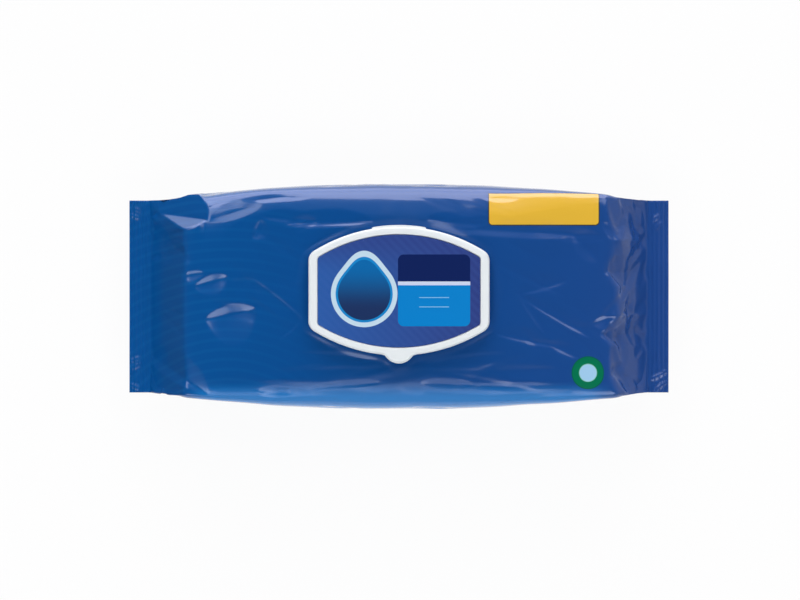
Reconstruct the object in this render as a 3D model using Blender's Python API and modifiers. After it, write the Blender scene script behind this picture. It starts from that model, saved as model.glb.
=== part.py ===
"""A flow-wrapped pack of pre-moistened wipes with a moulded flip lid, lying on its back.

Metres, +Z up. X runs along the pack, +Y is the hinge side of the lid.
The origin is on the surface that the pack lies on, under the middle of its length and width.
"""

import math

import bmesh
import bpy

MM = 0.001

# Film wrapper: overall sizes
PACK_LENGTH = 240 * MM
SEAL_WIDTH = 86.2 * MM
SEAL_DEPTH = 9 * MM
SEAL_THICKNESS = 1.1 * MM
SEAL_HEIGHT = 22 * MM
BODY_WIDTH = 101 * MM
BODY_HEIGHT = 48 * MM
FILM_WALL = 0.5 * MM
FOLDED_FILM_WALL = 0.9 * MM

# Film wrapper: crimped ridges of the end seals
CRIMP_PITCH = 2 * MM
CRIMP_HEIGHT = 0.35 * MM

# Film wrapper: how the tube is pressed flat, and how its side panels tuck in at the ends
TOP_FULLNESS = 5.0
BOTTOM_FULLNESS = 8.0
END_FULLNESS = 20.0
SEAL_FULLNESS = 80.0
FLAT_CROWN = 0.4 * MM
TOP_SHOULDER_DROP = 0.045
BOTTOM_SHOULDER_DROP = 0.01
END_ROUNDNESS = 0.8
END_WALL_SHARE = 1.3
TUCK_DEPTH = 20 * MM
TUCK_CLOSES_OVER = 3 * MM
FOLDS_START_OVER = 4 * MM
SEAL_SIDE_LAP = 0.3 * MM
TUBE_END_THICKNESS = 0.7 * MM

# Back seal of the film, folded flat against the underside
BACK_SEAL_EDGE_Y = -9 * MM
BACK_SEAL_GROOVE = 0.9 * MM
BACK_SEAL_STEP = 0.25 * MM
BACK_SEAL_END_MARGIN = 13 * MM

# Wipes
WIPE_LENGTH = 190 * MM
WIPE_WIDTH = 172 * MM
WIPE_COUNT = 60
FOLDED_WIPE_THICKNESS = 0.715 * MM
STACK_CORNER = 4 * MM
STACK_EDGE_ROUND = 4.5 * MM
STACK_GROOVE = 0.45 * MM
TOP_WIPE_THICKNESS = 1.2 * MM
TOP_WIPE_MARGIN = 4.5 * MM
TOP_WIPE_PINCH_HEIGHT = 1.2 * MM
TOP_WIPE_PINCH_LENGTH = 34 * MM
TOP_WIPE_PINCH_WIDTH = 9 * MM

# Lid and its frame: the barrel outline that both share
LID_LENGTH = 79.6 * MM
LID_WIDTH = 56.6 * MM
LID_BOW = 12.2 * MM
LID_CORNER_RADIUS = 5 * MM
LID_CENTRE_Y = 2.4 * MM

# Lid frame
FRAME_HEIGHT = 2.7 * MM
FRAME_DECK = 1.2 * MM
FRAME_WALL = 1.4 * MM
SLOT_LENGTH = 53 * MM
SLOT_WIDTH = 28 * MM
SLOT_BOW = 10 * MM
SLOT_CORNER_RADIUS = 6 * MM
RIM_WALL = 1.2 * MM
RIM_HEIGHT = 2.7 * MM
CATCH_WIDTH = 12 * MM
CATCH_THICKNESS = 1.1 * MM
FRAME_RIB_WALL = 0.9 * MM
FRAME_RIB_HEIGHT = 0.8 * MM
FRAME_RIB_SPACING = 6 * MM

# Lid
LID_HEIGHT = 3.3 * MM
LID_WALL = 1.4 * MM
LID_TOP_WALL = 1.1 * MM
LID_EDGE_ROUND = 1.4 * MM
SEAL_RING_WALL = 1.0 * MM
SEAL_RING_REACH = 0.8 * MM
TAB_WIDTH = 14.6 * MM
TAB_REACH = 3.6 * MM
TAB_THICKNESS = 1.9 * MM
TAB_NOSE_RADIUS = 7.5 * MM
TAB_NOSE_ANGLE = 53
HINGE_LENGTH = 23.7 * MM
HINGE_BULGE = 0.75 * MM
HINGE_STRAP = 0.7 * MM
HINGE_GAP_TO_AXIS = 0.15 * MM

# Label in the lid's recess
RECESS_LENGTH = 71.8 * MM
RECESS_WIDTH = 50 * MM
RECESS_BOW = 10.25 * MM
RECESS_CORNER_RADIUS = 1.5 * MM
RECESS_DEPTH = 0.9 * MM
LABEL_THICKNESS = 0.3 * MM
LABEL_SIDE_GAP = 0.3 * MM

# Clearances
SEAT_GAP = 0.3 * MM
FILM_TO_STACK_GAP = 0.3 * MM
RIM_TO_RING_GAP = 0.4 * MM
CATCH_GAP = 0.35 * MM
FILM_SLOT_MARGIN = 1.5 * MM

# Places worked out from the sizes above
HALF_SEAL = SEAL_WIDTH / 2
TUBE_END = PACK_LENGTH / 2 - SEAL_DEPTH
STACK_WIDTH = WIPE_WIDTH / 2
STACK_HEIGHT = WIPE_COUNT * FOLDED_WIPE_THICKNESS
STACK_BOTTOM = FILM_WALL + FILM_TO_STACK_GAP
STACK_TOP = STACK_BOTTOM + STACK_HEIGHT
SHOULDER_X = WIPE_LENGTH / 2 + 2 * MM
FRAME_BOTTOM = BODY_HEIGHT + SEAT_GAP
FRAME_TOP = FRAME_BOTTOM + FRAME_HEIGHT
DECK_TOP = FRAME_BOTTOM + FRAME_DECK
RIM_TOP = DECK_TOP + RIM_HEIGHT
LID_BOTTOM = FRAME_TOP + SEAT_GAP
LID_TOP = LID_BOTTOM + LID_HEIGHT
RECESS_FLOOR = LID_TOP - RECESS_DEPTH
LID_CEILING = RECESS_FLOOR - LID_TOP_WALL
HINGE_Z = (FRAME_TOP + LID_BOTTOM) / 2
HINGE_Y = LID_CENTRE_Y + LID_WIDTH / 2 + HINGE_BULGE
BEAD_END_Y = HINGE_Y - HINGE_GAP_TO_AXIS

# Slack places in the film: (x, y, half length, half width, turn in degrees, depth)
TOP_HOLLOWS = (
    (-62 * MM, 12 * MM, 22 * MM, 8 * MM, 38, 0.7 * MM),
    (-74 * MM, -20 * MM, 20 * MM, 9 * MM, -30, 0.8 * MM),
    (-88 * MM, 28 * MM, 14 * MM, 6 * MM, 24, 1.3 * MM),
    (-88 * MM, -33 * MM, 15 * MM, 6 * MM, -22, 1.3 * MM),
    (64 * MM, -8 * MM, 20 * MM, 7 * MM, 52, 0.7 * MM),
    (78 * MM, 18 * MM, 20 * MM, 9 * MM, -58, 0.8 * MM),
    (88 * MM, -26 * MM, 16 * MM, 7 * MM, 40, 1.2 * MM),
    (90 * MM, 31 * MM, 14 * MM, 6 * MM, -20, 1.2 * MM),
    (0, -38 * MM, 34 * MM, 4 * MM, 0, 0.5 * MM),
)
SIDE_HOLLOWS = (
    (-58 * MM, 24 * MM, 18 * MM, 9 * MM, 20, 1.1 * MM),
    (6 * MM, 26 * MM, 26 * MM, 8 * MM, -8, 0.9 * MM),
    (60 * MM, 22 * MM, 18 * MM, 9 * MM, -24, 1.1 * MM),
)

# How finely the film's sections are drawn
ACROSS_TOP = 18
ACROSS_SIDE = 8
STATION_STEP = 10 * MM
END_STATIONS = 9
CLOSED_STATIONS = 2


def clear_scene():
    for old in list(bpy.data.objects):
        bpy.data.objects.remove(old)


def make_collection(name):
    collection = bpy.data.collections.new(name)
    bpy.context.scene.collection.children.link(collection)
    return collection


def srgb_to_linear(channel):
    return channel / 12.92 if channel <= 0.04045 else ((channel + 0.055) / 1.055) ** 2.4


def make_material(name, colour, roughness, metallic=0.0):
    """A plain Principled finish; colour is an sRGB hex string."""
    material = bpy.data.materials.new(name)
    material.use_nodes = True
    shader = material.node_tree.nodes["Principled BSDF"]
    rgb = [srgb_to_linear(int(colour[i:i + 2], 16) / 255) for i in (0, 2, 4)]
    shader.inputs["Base Color"].default_value = (*rgb, 1.0)
    shader.inputs["Roughness"].default_value = roughness
    shader.inputs["Metallic"].default_value = metallic
    material.diffuse_color = (*rgb, 1.0)
    return material


def smooth_step(value):
    held = min(max(value, 0.0), 1.0)
    return held * held * (3 - 2 * held)


def barrel_outline(length, width, bow, corner_radius, inset=0.0, arc_steps=12, corner_steps=4):
    """Points round a shape with straight ends in X and long sides in Y that bow out by bow, corners rounded."""
    half_length = length / 2 - inset
    half_width = width / 2 - inset
    radius = ((length / 2) ** 2 + bow ** 2) / (2 * bow) - inset
    corner = max(corner_radius - inset, 0.3 * MM)
    arc_centre_y = half_width - radius
    corner_x = half_length - corner
    corner_y = arc_centre_y + math.sqrt((radius - corner) ** 2 - corner_x ** 2)
    turn = math.atan2(corner_y - arc_centre_y, corner_x)
    quarter = []
    for step in range(corner_steps + 1):
        angle = turn * step / corner_steps
        quarter.append((corner_x + corner * math.cos(angle), corner_y + corner * math.sin(angle)))
    half_arc_steps = arc_steps // 2
    for step in range(1, half_arc_steps + 1):
        angle = turn + (math.pi / 2 - turn) * step / half_arc_steps
        quarter.append((radius * math.cos(angle), arc_centre_y + radius * math.sin(angle)))
    left_half = [(-x, y) for x, y in reversed(quarter[:-1])]
    upper = quarter + left_half
    lower = [(x, -y) for x, y in reversed(upper)]
    return upper + lower


def lid_outline(inset=0.0):
    return barrel_outline(LID_LENGTH, LID_WIDTH, LID_BOW, LID_CORNER_RADIUS, inset)


def slot_outline(inset=0.0):
    return barrel_outline(SLOT_LENGTH, SLOT_WIDTH, SLOT_BOW, SLOT_CORNER_RADIUS, inset)


def recess_outline(inset=0.0):
    return barrel_outline(RECESS_LENGTH, RECESS_WIDTH, RECESS_BOW, RECESS_CORNER_RADIUS, inset)


def tab_outline():
    """The thumb tab: a round nose whose sides flow into the lid's front edge."""
    root_y = -LID_WIDTH / 2 + LID_WALL
    tip_y = -LID_WIDTH / 2 - TAB_REACH
    half = TAB_WIDTH / 2
    nose_centre_y = tip_y + TAB_NOSE_RADIUS
    points = [(half, root_y)]
    for step in range(9):
        angle = math.radians(-90 + TAB_NOSE_ANGLE * (1 - step / 4))
        points.append((TAB_NOSE_RADIUS * math.cos(angle), nose_centre_y + TAB_NOSE_RADIUS * math.sin(angle)))
    points.append((-half, root_y))
    return points


def prism(name, outline, bottom, top, centre_y=0.0, upright=False):
    """An outline given thickness: a filled 2D curve, extruded and made a mesh.

    Upright lays the outline in XZ and runs the thickness along Y.
    """
    curve = bpy.data.curves.new(name, "CURVE")
    curve.dimensions = "2D"
    curve.fill_mode = "BOTH"
    curve.extrude = (top - bottom) / 2
    spline = curve.splines.new("POLY")
    spline.points.add(len(outline) - 1)
    for point, (u, v) in zip(spline.points, outline):
        point.co = (u, v, 0.0, 1.0)
    spline.use_cyclic_u = True
    drawn = bpy.data.objects.new(name + "_curve", curve)
    bpy.context.scene.collection.objects.link(drawn)
    bpy.context.view_layer.update()
    evaluated = drawn.evaluated_get(bpy.context.evaluated_depsgraph_get())
    mesh = bpy.data.meshes.new_from_object(evaluated)
    mesh.name = name
    bpy.data.objects.remove(drawn)
    shaped = bmesh.new()
    shaped.from_mesh(mesh)
    bmesh.ops.remove_doubles(shaped, verts=shaped.verts, dist=1e-6)
    for vert in shaped.verts:
        u, v, w = vert.co
        along = w + (top + bottom) / 2
        vert.co = (u, along, v) if upright else (u, v + centre_y, along)
    bmesh.ops.recalc_face_normals(shaped, faces=shaped.faces)
    if shaped.calc_volume(signed=True) < 0:
        bmesh.ops.reverse_faces(shaped, faces=shaped.faces)
    shaped.to_mesh(mesh)
    shaped.free()
    mesh.materials.clear()
    return bpy.data.objects.new(name, mesh)


def block(name, low, high):
    """A box between two corners."""
    shaped = bmesh.new()
    bmesh.ops.create_cube(shaped, size=1.0)
    for vert in shaped.verts:
        vert.co = [(a + b) / 2 + c * (b - a) for a, b, c in zip(low, high, vert.co)]
    mesh = bpy.data.meshes.new(name)
    shaped.to_mesh(mesh)
    shaped.free()
    return bpy.data.objects.new(name, mesh)


def round_edges(obj, height, width, segments):
    """Rounds the edges that lie at one height, such as the rim of a lid's top."""
    shaped = bmesh.new()
    shaped.from_mesh(obj.data)
    chosen = [
        edge for edge in shaped.edges
        if all(abs(vert.co.z - height) < 1e-6 for vert in edge.verts)
        and len(edge.link_faces) == 2
        and abs(edge.link_faces[0].normal.dot(edge.link_faces[1].normal)) < 0.5
    ]
    bmesh.ops.bevel(shaped, geom=chosen, offset=width, segments=segments, profile=0.5, affect="EDGES")
    shaped.to_mesh(obj.data)
    shaped.free()


def loft(name, rings):
    """Joins rings of equally many points into one closed skin with flat ends."""
    shaped = bmesh.new()
    rows = [[shaped.verts.new(point) for point in ring] for ring in rings]
    count = len(rows[0])
    for first, second in zip(rows, rows[1:]):
        for i in range(count):
            j = (i + 1) % count
            shaped.faces.new((first[i], first[j], second[j], second[i]))
    shaped.faces.new(rows[0])
    shaped.faces.new(rows[-1])
    bmesh.ops.recalc_face_normals(shaped, faces=shaped.faces)
    mesh = bpy.data.meshes.new(name)
    shaped.to_mesh(mesh)
    shaped.free()
    return bpy.data.objects.new(name, mesh)


def boolean(obj, other, operation):
    modifier = obj.modifiers.new(operation.lower() + "_" + other.name, "BOOLEAN")
    modifier.operation = operation
    modifier.solver = "EXACT"
    modifier.object = other


class Bench:
    """Keeps parts and helpers in their own collections."""

    def __init__(self, name):
        self.parts = make_collection(name)
        self.helpers = make_collection(name + "_helpers")

    def helper(self, obj):
        obj.hide_render = True
        obj.display_type = "WIRE"
        self.helpers.objects.link(obj)
        return obj

    def part(self, obj, material, smooth_angle=35):
        self.parts.objects.link(obj)
        obj.data.materials.append(material)
        obj.data.shade_smooth()
        obj.data.set_sharp_from_angle(angle=math.radians(smooth_angle))
        return obj

    def join(self, obj, other):
        boolean(obj, self.helper(other), "UNION")

    def cut(self, obj, other):
        boolean(obj, self.helper(other), "DIFFERENCE")


def plan_half_width(x):
    """Half the pack's width seen from above: a shallow bow from the seals to the middle."""
    bow = max(1 - (x / TUBE_END) ** 2, 0.0)
    narrowest = HALF_SEAL - SEAL_SIDE_LAP
    return narrowest + (BODY_WIDTH / 2 - narrowest) * bow


def end_profile(x, shoulder_drop):
    """How much of the full height is left at x: near 1 over the wipes, 0 at the seals."""
    reach = abs(x)
    if reach <= SHOULDER_X:
        return 1 - shoulder_drop * (reach / SHOULDER_X) ** 8
    left = max(1 - (reach - SHOULDER_X) / (TUBE_END - SHOULDER_X), 0.0)
    return (1 - shoulder_drop) * left ** END_ROUNDNESS


def fullness(x, middle):
    """How square the section is at x: round-sided in the middle, tight on the wipes, sharp at the seals."""
    reach = abs(x)
    if reach <= SHOULDER_X:
        return middle + (END_FULLNESS - middle) * (reach / SHOULDER_X) ** 3
    past = min((reach - SHOULDER_X) / (TUBE_END - SHOULDER_X), 1.0)
    return END_FULLNESS + (SEAL_FULLNESS - END_FULLNESS) * past


def tuck_depth(x):
    """How far the side panels are folded in between the faces, at x."""
    start = WIPE_LENGTH / 2 - 2 * MM
    closes = TUBE_END - TUCK_CLOSES_OVER
    opened = smooth_step((abs(x) - start) / (closes - start))
    shut = 1 - smooth_step((abs(x) - closes) / TUCK_CLOSES_OVER)
    return TUCK_DEPTH * opened * shut


def hollow(hollows, x, y):
    """Depth of the slack places at a point of the film."""
    depth = 0.0
    for cx, cy, half_length, half_width, turn, deepest in hollows:
        c, s = math.cos(math.radians(turn)), math.sin(math.radians(turn))
        along = ((x - cx) * c + (y - cy) * s) / half_length
        across = (-(x - cx) * s + (y - cy) * c) / half_width
        depth += deepest * math.exp(-along * along - across * across)
    return depth


def square_walk():
    """Points round a square of half side 1, the same number on the top as on the underside."""
    points = []
    for i in range(ACROSS_SIDE):
        points.append((1.0, -1 + 2 * i / ACROSS_SIDE))
    for i in range(ACROSS_TOP):
        points.append((1 - 2 * i / ACROSS_TOP, 1.0))
    for i in range(ACROSS_SIDE):
        points.append((-1.0, 1 - 2 * i / ACROSS_SIDE))
    for i in range(ACROSS_TOP):
        points.append((-1 + 2 * i / ACROSS_TOP, -1.0))
    return points


def film_ring(x, inset=0.0):
    """The film tube's section at x; inset gives the inner face of the wall.

    The inner face is also moved towards the middle, so the sloping ends keep their wall.
    """
    place_x = x - math.copysign(inset * END_WALL_SHARE, x)
    full_above = end_profile(x, TOP_SHOULDER_DROP)
    full_below = end_profile(x, BOTTOM_SHOULDER_DROP)
    half_width = plan_half_width(x)
    least_half = TUBE_END_THICKNESS / 2
    above = (BODY_HEIGHT - SEAL_HEIGHT + FLAT_CROWN) * full_above + least_half * (1 - full_above) - inset
    below = (SEAL_HEIGHT + FLAT_CROWN) * full_below + least_half * (1 - full_below) - inset
    tuck = tuck_depth(x)
    lean = math.atan2(min(above, below) + inset, max(tuck, 1e-9))
    inner_half_width = half_width - inset / math.tan(lean / 2)
    inner_tip = half_width - tuck - inset / math.sin(lean)
    inner_tuck = inner_half_width - inner_tip
    ring = []
    for p, q in square_walk():
        power = fullness(x, TOP_FULLNESS if q > 0 else BOTTOM_FULLNESS)
        reach = (abs(p) ** power + abs(q) ** power) ** (-1 / power)
        y = p * reach * inner_half_width
        z = q * reach * (above if q > 0 else below)
        if abs(p) == 1:
            y -= math.copysign(inner_tuck * (1 - abs(q)), p)
            y -= math.copysign(hollow(SIDE_HOLLOWS, x, SEAL_HEIGHT + z) * (1 - q * q), p)
        z += SEAL_HEIGHT
        z = min(max(z, inset), BODY_HEIGHT - inset)
        if q == 1:
            z -= hollow(TOP_HOLLOWS, x, y) * full_above
        ring.append((place_x, y, z))
    return ring


def wall_at(x):
    """The film's wall at x: thicker past the wipes, where its folds lie on each other."""
    past = smooth_step((abs(x) - SHOULDER_X) / FOLDS_START_OVER)
    return FILM_WALL + (FOLDED_FILM_WALL - FILM_WALL) * past


def film_stations():
    """Places along X for the sections: closer together where the ends fold in."""
    start = WIPE_LENGTH / 2 - 8 * MM
    ends = [start + (TUBE_END - start) * i / END_STATIONS for i in range(END_STATIONS + 1)]
    pairs = math.ceil(start / STATION_STEP)
    count = 2 * pairs + 1
    middle = [-start + 2 * start * i / count for i in range(1, count)]
    return [-x for x in reversed(ends)] + middle + ends


def seal_profile(side):
    """The crimped seal's section in XZ: a wavy strip, its ridges along Y."""
    inner = TUBE_END - 1 * MM
    outer = PACK_LENGTH / 2
    steps = max(round((outer - inner) / CRIMP_PITCH * 4), 4)
    half = SEAL_THICKNESS / 2
    upper = []
    lower = []
    for i in range(steps + 1):
        x = inner + (outer - inner) * i / steps
        wave = CRIMP_HEIGHT / 2 * math.sin(2 * math.pi * (x - TUBE_END) / CRIMP_PITCH + 0.6)
        wave *= smooth_step((x - inner) / (2 * MM))
        upper.append((side * x, SEAL_HEIGHT + half + wave))
        lower.append((side * x, SEAL_HEIGHT - half + wave))
    return upper + lower[::-1]


def build_wrapper(bench, film):
    stations = film_stations()
    wrapper = bench.part(loft("wrapper", [film_ring(x) for x in stations]), film)
    for side, word in ((-1, "left"), (1, "right")):
        seal = prism(
            "end_seal_" + word, seal_profile(side), -HALF_SEAL, HALF_SEAL, upright=True
        )
        bench.join(wrapper, seal)
    hollow_stations = stations[CLOSED_STATIONS:-CLOSED_STATIONS]
    bench.cut(wrapper, loft("inside_of_film", [film_ring(x, wall_at(x)) for x in hollow_stations]))
    film_slot = slot_outline(-FILM_SLOT_MARGIN)
    bench.cut(
        wrapper,
        prism("film_slot", film_slot, BODY_HEIGHT - 4 * MM, BODY_HEIGHT + 2 * MM, LID_CENTRE_Y),
    )
    groove_reach = WIPE_LENGTH / 2 - BACK_SEAL_END_MARGIN
    groove = block(
        "back_seal_edge",
        (-groove_reach, BACK_SEAL_EDGE_Y - BACK_SEAL_GROOVE / 2, -1 * MM),
        (groove_reach, BACK_SEAL_EDGE_Y + BACK_SEAL_GROOVE / 2, BACK_SEAL_STEP),
    )
    bench.cut(wrapper, groove)


def stack_ring(z, inset):
    """A rectangle with cut corners, at one height of the stack."""
    x = WIPE_LENGTH / 2 - inset
    y = STACK_WIDTH / 2 - inset
    c = STACK_CORNER
    corners = ((x, y - c), (x - c, y), (c - x, y), (-x, y - c), (-x, c - y), (c - x, -y), (x - c, -y), (x, c - y))
    return [(px, py, z) for px, py in corners]


def edge_round_inset(z):
    """How far the stack steps in at one height, where its top and bottom edges are pressed round."""
    from_face = min(z - STACK_BOTTOM, STACK_TOP - z)
    if from_face >= STACK_EDGE_ROUND:
        return 0.0
    rise = STACK_EDGE_ROUND - max(from_face, 0.0)
    return STACK_EDGE_ROUND - math.sqrt(STACK_EDGE_ROUND ** 2 - rise ** 2)


def build_wipes_stack(bench, wipe_material):
    """Sixty folded wipes: each one's rounded fold edge shows as a step round the stack."""
    rings = []
    for i in range(WIPE_COUNT):
        bottom = STACK_BOTTOM + i * FOLDED_WIPE_THICKNESS
        middle = bottom + FOLDED_WIPE_THICKNESS / 2
        rings.append(stack_ring(bottom, STACK_GROOVE + edge_round_inset(bottom)))
        rings.append(stack_ring(middle, edge_round_inset(middle)))
    rings.append(stack_ring(STACK_TOP, STACK_GROOVE + edge_round_inset(STACK_TOP)))
    bench.part(loft("wipes_stack", rings), wipe_material)


def build_top_wipe(bench, wipe_material):
    """The next wipe to be pulled: folded on the stack, its middle pinched up under the slot."""
    bottom = STACK_TOP + SEAT_GAP
    along = 16
    across = 8
    half_length = WIPE_LENGTH / 2 - TOP_WIPE_MARGIN
    half_width = STACK_WIDTH / 2 - TOP_WIPE_MARGIN
    shaped = bmesh.new()
    bmesh.ops.create_grid(shaped, x_segments=along, y_segments=across, size=1.0)
    for vert in shaped.verts:
        x = vert.co.x * half_length
        y = vert.co.y * half_width
        pinch_x = math.exp(-(x / (TOP_WIPE_PINCH_LENGTH / 2)) ** 2)
        pinch_y = math.exp(-((y - LID_CENTRE_Y) / (TOP_WIPE_PINCH_WIDTH / 2)) ** 2)
        vert.co = (x, y, bottom + TOP_WIPE_PINCH_HEIGHT * pinch_x * pinch_y)
    mesh = bpy.data.meshes.new("top_wipe")
    shaped.to_mesh(mesh)
    shaped.free()
    wipe = bench.part(bpy.data.objects.new("top_wipe", mesh), wipe_material)
    thickness = wipe.modifiers.new("folded_thickness", "SOLIDIFY")
    thickness.thickness = TOP_WIPE_THICKNESS
    thickness.offset = 1.0


def build_lid_frame(bench, white):
    frame = bench.part(prism("lid_frame", lid_outline(), FRAME_BOTTOM, FRAME_TOP, LID_CENTRE_Y), white)
    bench.cut(frame, prism("frame_tray", lid_outline(FRAME_WALL), DECK_TOP, FRAME_TOP + 1 * MM, LID_CENTRE_Y))
    bench.join(frame, prism("slot_rim", slot_outline(-RIM_WALL), FRAME_BOTTOM + 0.4 * MM, RIM_TOP, LID_CENTRE_Y))
    catch_front = LID_CENTRE_Y - LID_WIDTH / 2 + LID_WALL + CATCH_GAP
    bench.join(frame, block(
        "front_catch",
        (-CATCH_WIDTH / 2, catch_front, FRAME_BOTTOM + 0.5 * MM),
        (CATCH_WIDTH / 2, catch_front + CATCH_THICKNESS, RIM_TOP),
    ))
    for side in (-1, 1):
        inner_x = side * (SLOT_LENGTH / 2 + RIM_WALL / 2)
        outer_x = side * (LID_LENGTH / 2 - FRAME_WALL / 2)
        for row in (-1, 0, 1):
            y = LID_CENTRE_Y + row * FRAME_RIB_SPACING
            name = "rib_" + ("left" if side < 0 else "right") + "_" + str(row + 2)
            bench.join(frame, block(
                name,
                (min(inner_x, outer_x), y - FRAME_RIB_WALL / 2, FRAME_BOTTOM + 0.6 * MM),
                (max(inner_x, outer_x), y + FRAME_RIB_WALL / 2, DECK_TOP + FRAME_RIB_HEIGHT),
            ))
    bench.join(frame, block(
        "frame_hinge_bead",
        (-HINGE_LENGTH / 2, BEAD_END_Y - HINGE_BULGE - 1 * MM, FRAME_TOP - HINGE_STRAP),
        (HINGE_LENGTH / 2, BEAD_END_Y, FRAME_TOP),
    ))
    bench.cut(frame, prism("slot", slot_outline(), FRAME_BOTTOM - 1 * MM, RIM_TOP + 1 * MM, LID_CENTRE_Y))


def build_lid(bench, white):
    cover = prism("lid", lid_outline(), LID_BOTTOM, LID_TOP, LID_CENTRE_Y)
    round_edges(cover, LID_TOP, LID_EDGE_ROUND, 3)
    lid = bench.part(cover, white)
    tab = prism("thumb_tab", tab_outline(), LID_TOP - TAB_THICKNESS, LID_TOP - 0.2 * MM, LID_CENTRE_Y)
    round_edges(tab, LID_TOP - 0.2 * MM, 0.5 * MM, 2)
    bench.join(lid, tab)
    bench.join(lid, block(
        "lid_hinge_strap",
        (-HINGE_LENGTH / 2, BEAD_END_Y - HINGE_BULGE - 1 * MM, LID_BOTTOM),
        (HINGE_LENGTH / 2, BEAD_END_Y, LID_BOTTOM + HINGE_STRAP),
    ))
    bench.cut(lid, prism("lid_pocket", lid_outline(LID_WALL), LID_BOTTOM - 1 * MM, LID_CEILING, LID_CENTRE_Y))
    ring_inset = -(RIM_WALL + RIM_TO_RING_GAP)
    ring = prism(
        "sealing_ring", slot_outline(ring_inset - SEAL_RING_WALL), LID_BOTTOM - SEAL_RING_REACH,
        LID_CEILING + 0.4 * MM, LID_CENTRE_Y,
    )
    ring_bore = prism(
        "sealing_ring_bore", slot_outline(ring_inset), LID_BOTTOM - SEAL_RING_REACH - 1 * MM,
        LID_CEILING, LID_CENTRE_Y,
    )
    boolean(ring, bench.helper(ring_bore), "DIFFERENCE")
    bench.join(lid, ring)
    bench.cut(lid, prism("label_recess", recess_outline(), RECESS_FLOOR, LID_TOP + 1 * MM, LID_CENTRE_Y))
    hinge = bpy.data.objects.new("lid_hinge_axis", None)
    hinge.location = (0.0, HINGE_Y, HINGE_Z)
    bench.parts.objects.link(hinge)
    return lid, hinge


def build_lid_label(bench, label_material):
    bottom = RECESS_FLOOR + SEAT_GAP
    plate = prism("lid_label", recess_outline(LABEL_SIDE_GAP), bottom, bottom + LABEL_THICKNESS, LID_CENTRE_Y)
    return bench.part(plate, label_material)


def hang_on(parent, child):
    """Parents a piece to the hinge's axis and leaves it where it was made."""
    bpy.context.view_layer.update()
    child.parent = parent
    child.matrix_parent_inverse = parent.matrix_world.inverted()


def main():
    clear_scene()
    bench = Bench("wet_wipes_pack")
    film = make_material("printed_film", "0F4F92", 0.28)
    wipes = make_material("wet_nonwoven", "EFF1F0", 0.75)
    white = make_material("white_polypropylene", "EBEDF2", 0.35)
    print_blue = make_material("printed_label", "345A9D", 0.4)
    build_wrapper(bench, film)
    build_wipes_stack(bench, wipes)
    build_top_wipe(bench, wipes)
    build_lid_frame(bench, white)
    lid, hinge = build_lid(bench, white)
    label = build_lid_label(bench, print_blue)
    hang_on(hinge, lid)
    hang_on(hinge, label)


main()
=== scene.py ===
# Wet wipes pack: printed film, white flip lid, label and wipes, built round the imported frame.
# Lengths are in metres unless a name says mm or Px.

import math
from functools import partial

import bmesh
import bpy
import numpy as np
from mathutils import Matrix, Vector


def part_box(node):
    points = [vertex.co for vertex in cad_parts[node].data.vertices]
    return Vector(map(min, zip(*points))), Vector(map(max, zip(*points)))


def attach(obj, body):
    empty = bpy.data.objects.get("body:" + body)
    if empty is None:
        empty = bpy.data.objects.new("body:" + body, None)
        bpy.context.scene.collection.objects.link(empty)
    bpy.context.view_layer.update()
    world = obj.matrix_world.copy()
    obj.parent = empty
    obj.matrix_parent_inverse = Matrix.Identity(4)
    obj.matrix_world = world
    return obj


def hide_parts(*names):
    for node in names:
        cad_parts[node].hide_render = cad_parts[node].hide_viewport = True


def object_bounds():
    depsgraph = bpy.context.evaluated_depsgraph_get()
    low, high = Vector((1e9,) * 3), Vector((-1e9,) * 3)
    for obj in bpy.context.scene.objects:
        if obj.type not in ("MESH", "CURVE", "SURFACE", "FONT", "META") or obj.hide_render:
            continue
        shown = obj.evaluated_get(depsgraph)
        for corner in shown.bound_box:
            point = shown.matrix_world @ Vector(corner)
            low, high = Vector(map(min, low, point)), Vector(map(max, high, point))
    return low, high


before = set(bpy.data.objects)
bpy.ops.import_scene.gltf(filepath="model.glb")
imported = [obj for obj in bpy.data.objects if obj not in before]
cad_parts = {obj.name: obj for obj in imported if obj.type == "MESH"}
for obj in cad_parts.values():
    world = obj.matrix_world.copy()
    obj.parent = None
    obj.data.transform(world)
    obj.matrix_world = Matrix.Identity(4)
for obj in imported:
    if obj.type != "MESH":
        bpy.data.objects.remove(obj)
cadLow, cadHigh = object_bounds()

mm = 0.001
seed = 20
smooth = {"interpolation_type": "SMOOTHSTEP"}

# How the photograph maps to the part: the pack's middle, and the size of a pixel
view = {
    "packCentrePx": (399.0, 296.5),
    "imageCentrePx": (400.0, 300.0),
    "imageWidthPx": 800,
    "mmPerPx": 0.4444,
    "cameraHeight": 2.4,
    "sensor": 36.0,
    "focusUp": 1.2,
}


def fromPx(x, y):
    # a place on the photo as X, Y on the part
    cx, cy = view["packCentrePx"]
    scale = view["mmPerPx"] * mm
    return (x - cx) * scale, (cy - y) * scale


def linear(hexColour):
    # sRGB hex to the linear colour that the shaders take
    channels = [int(hexColour[i:i + 2], 16) / 255 for i in (0, 2, 4)]
    return tuple(c / 12.92 if c <= 0.04045 else ((c + 0.055) / 1.055) ** 2.4 for c in channels)


def setInputs(node, inputs):
    # inputs by name, or in order for those in use; a node stands for the first of its outputs in use,
    # and a string is a colour in sRGB hex
    if isinstance(inputs, dict):
        pairs = [(node.inputs[name], value) for name, value in inputs.items()]
    else:
        pairs = zip([socket for socket in node.inputs if socket.enabled], inputs)
    for socket, value in pairs:
        if isinstance(value, bpy.types.Node):
            value = next(output for output in value.outputs if output.enabled)
        if isinstance(value, bpy.types.NodeSocket):
            node.id_data.links.new(value, socket)
        else:
            socket.default_value = (*linear(value), 1.0) if isinstance(value, str) else value


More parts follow.
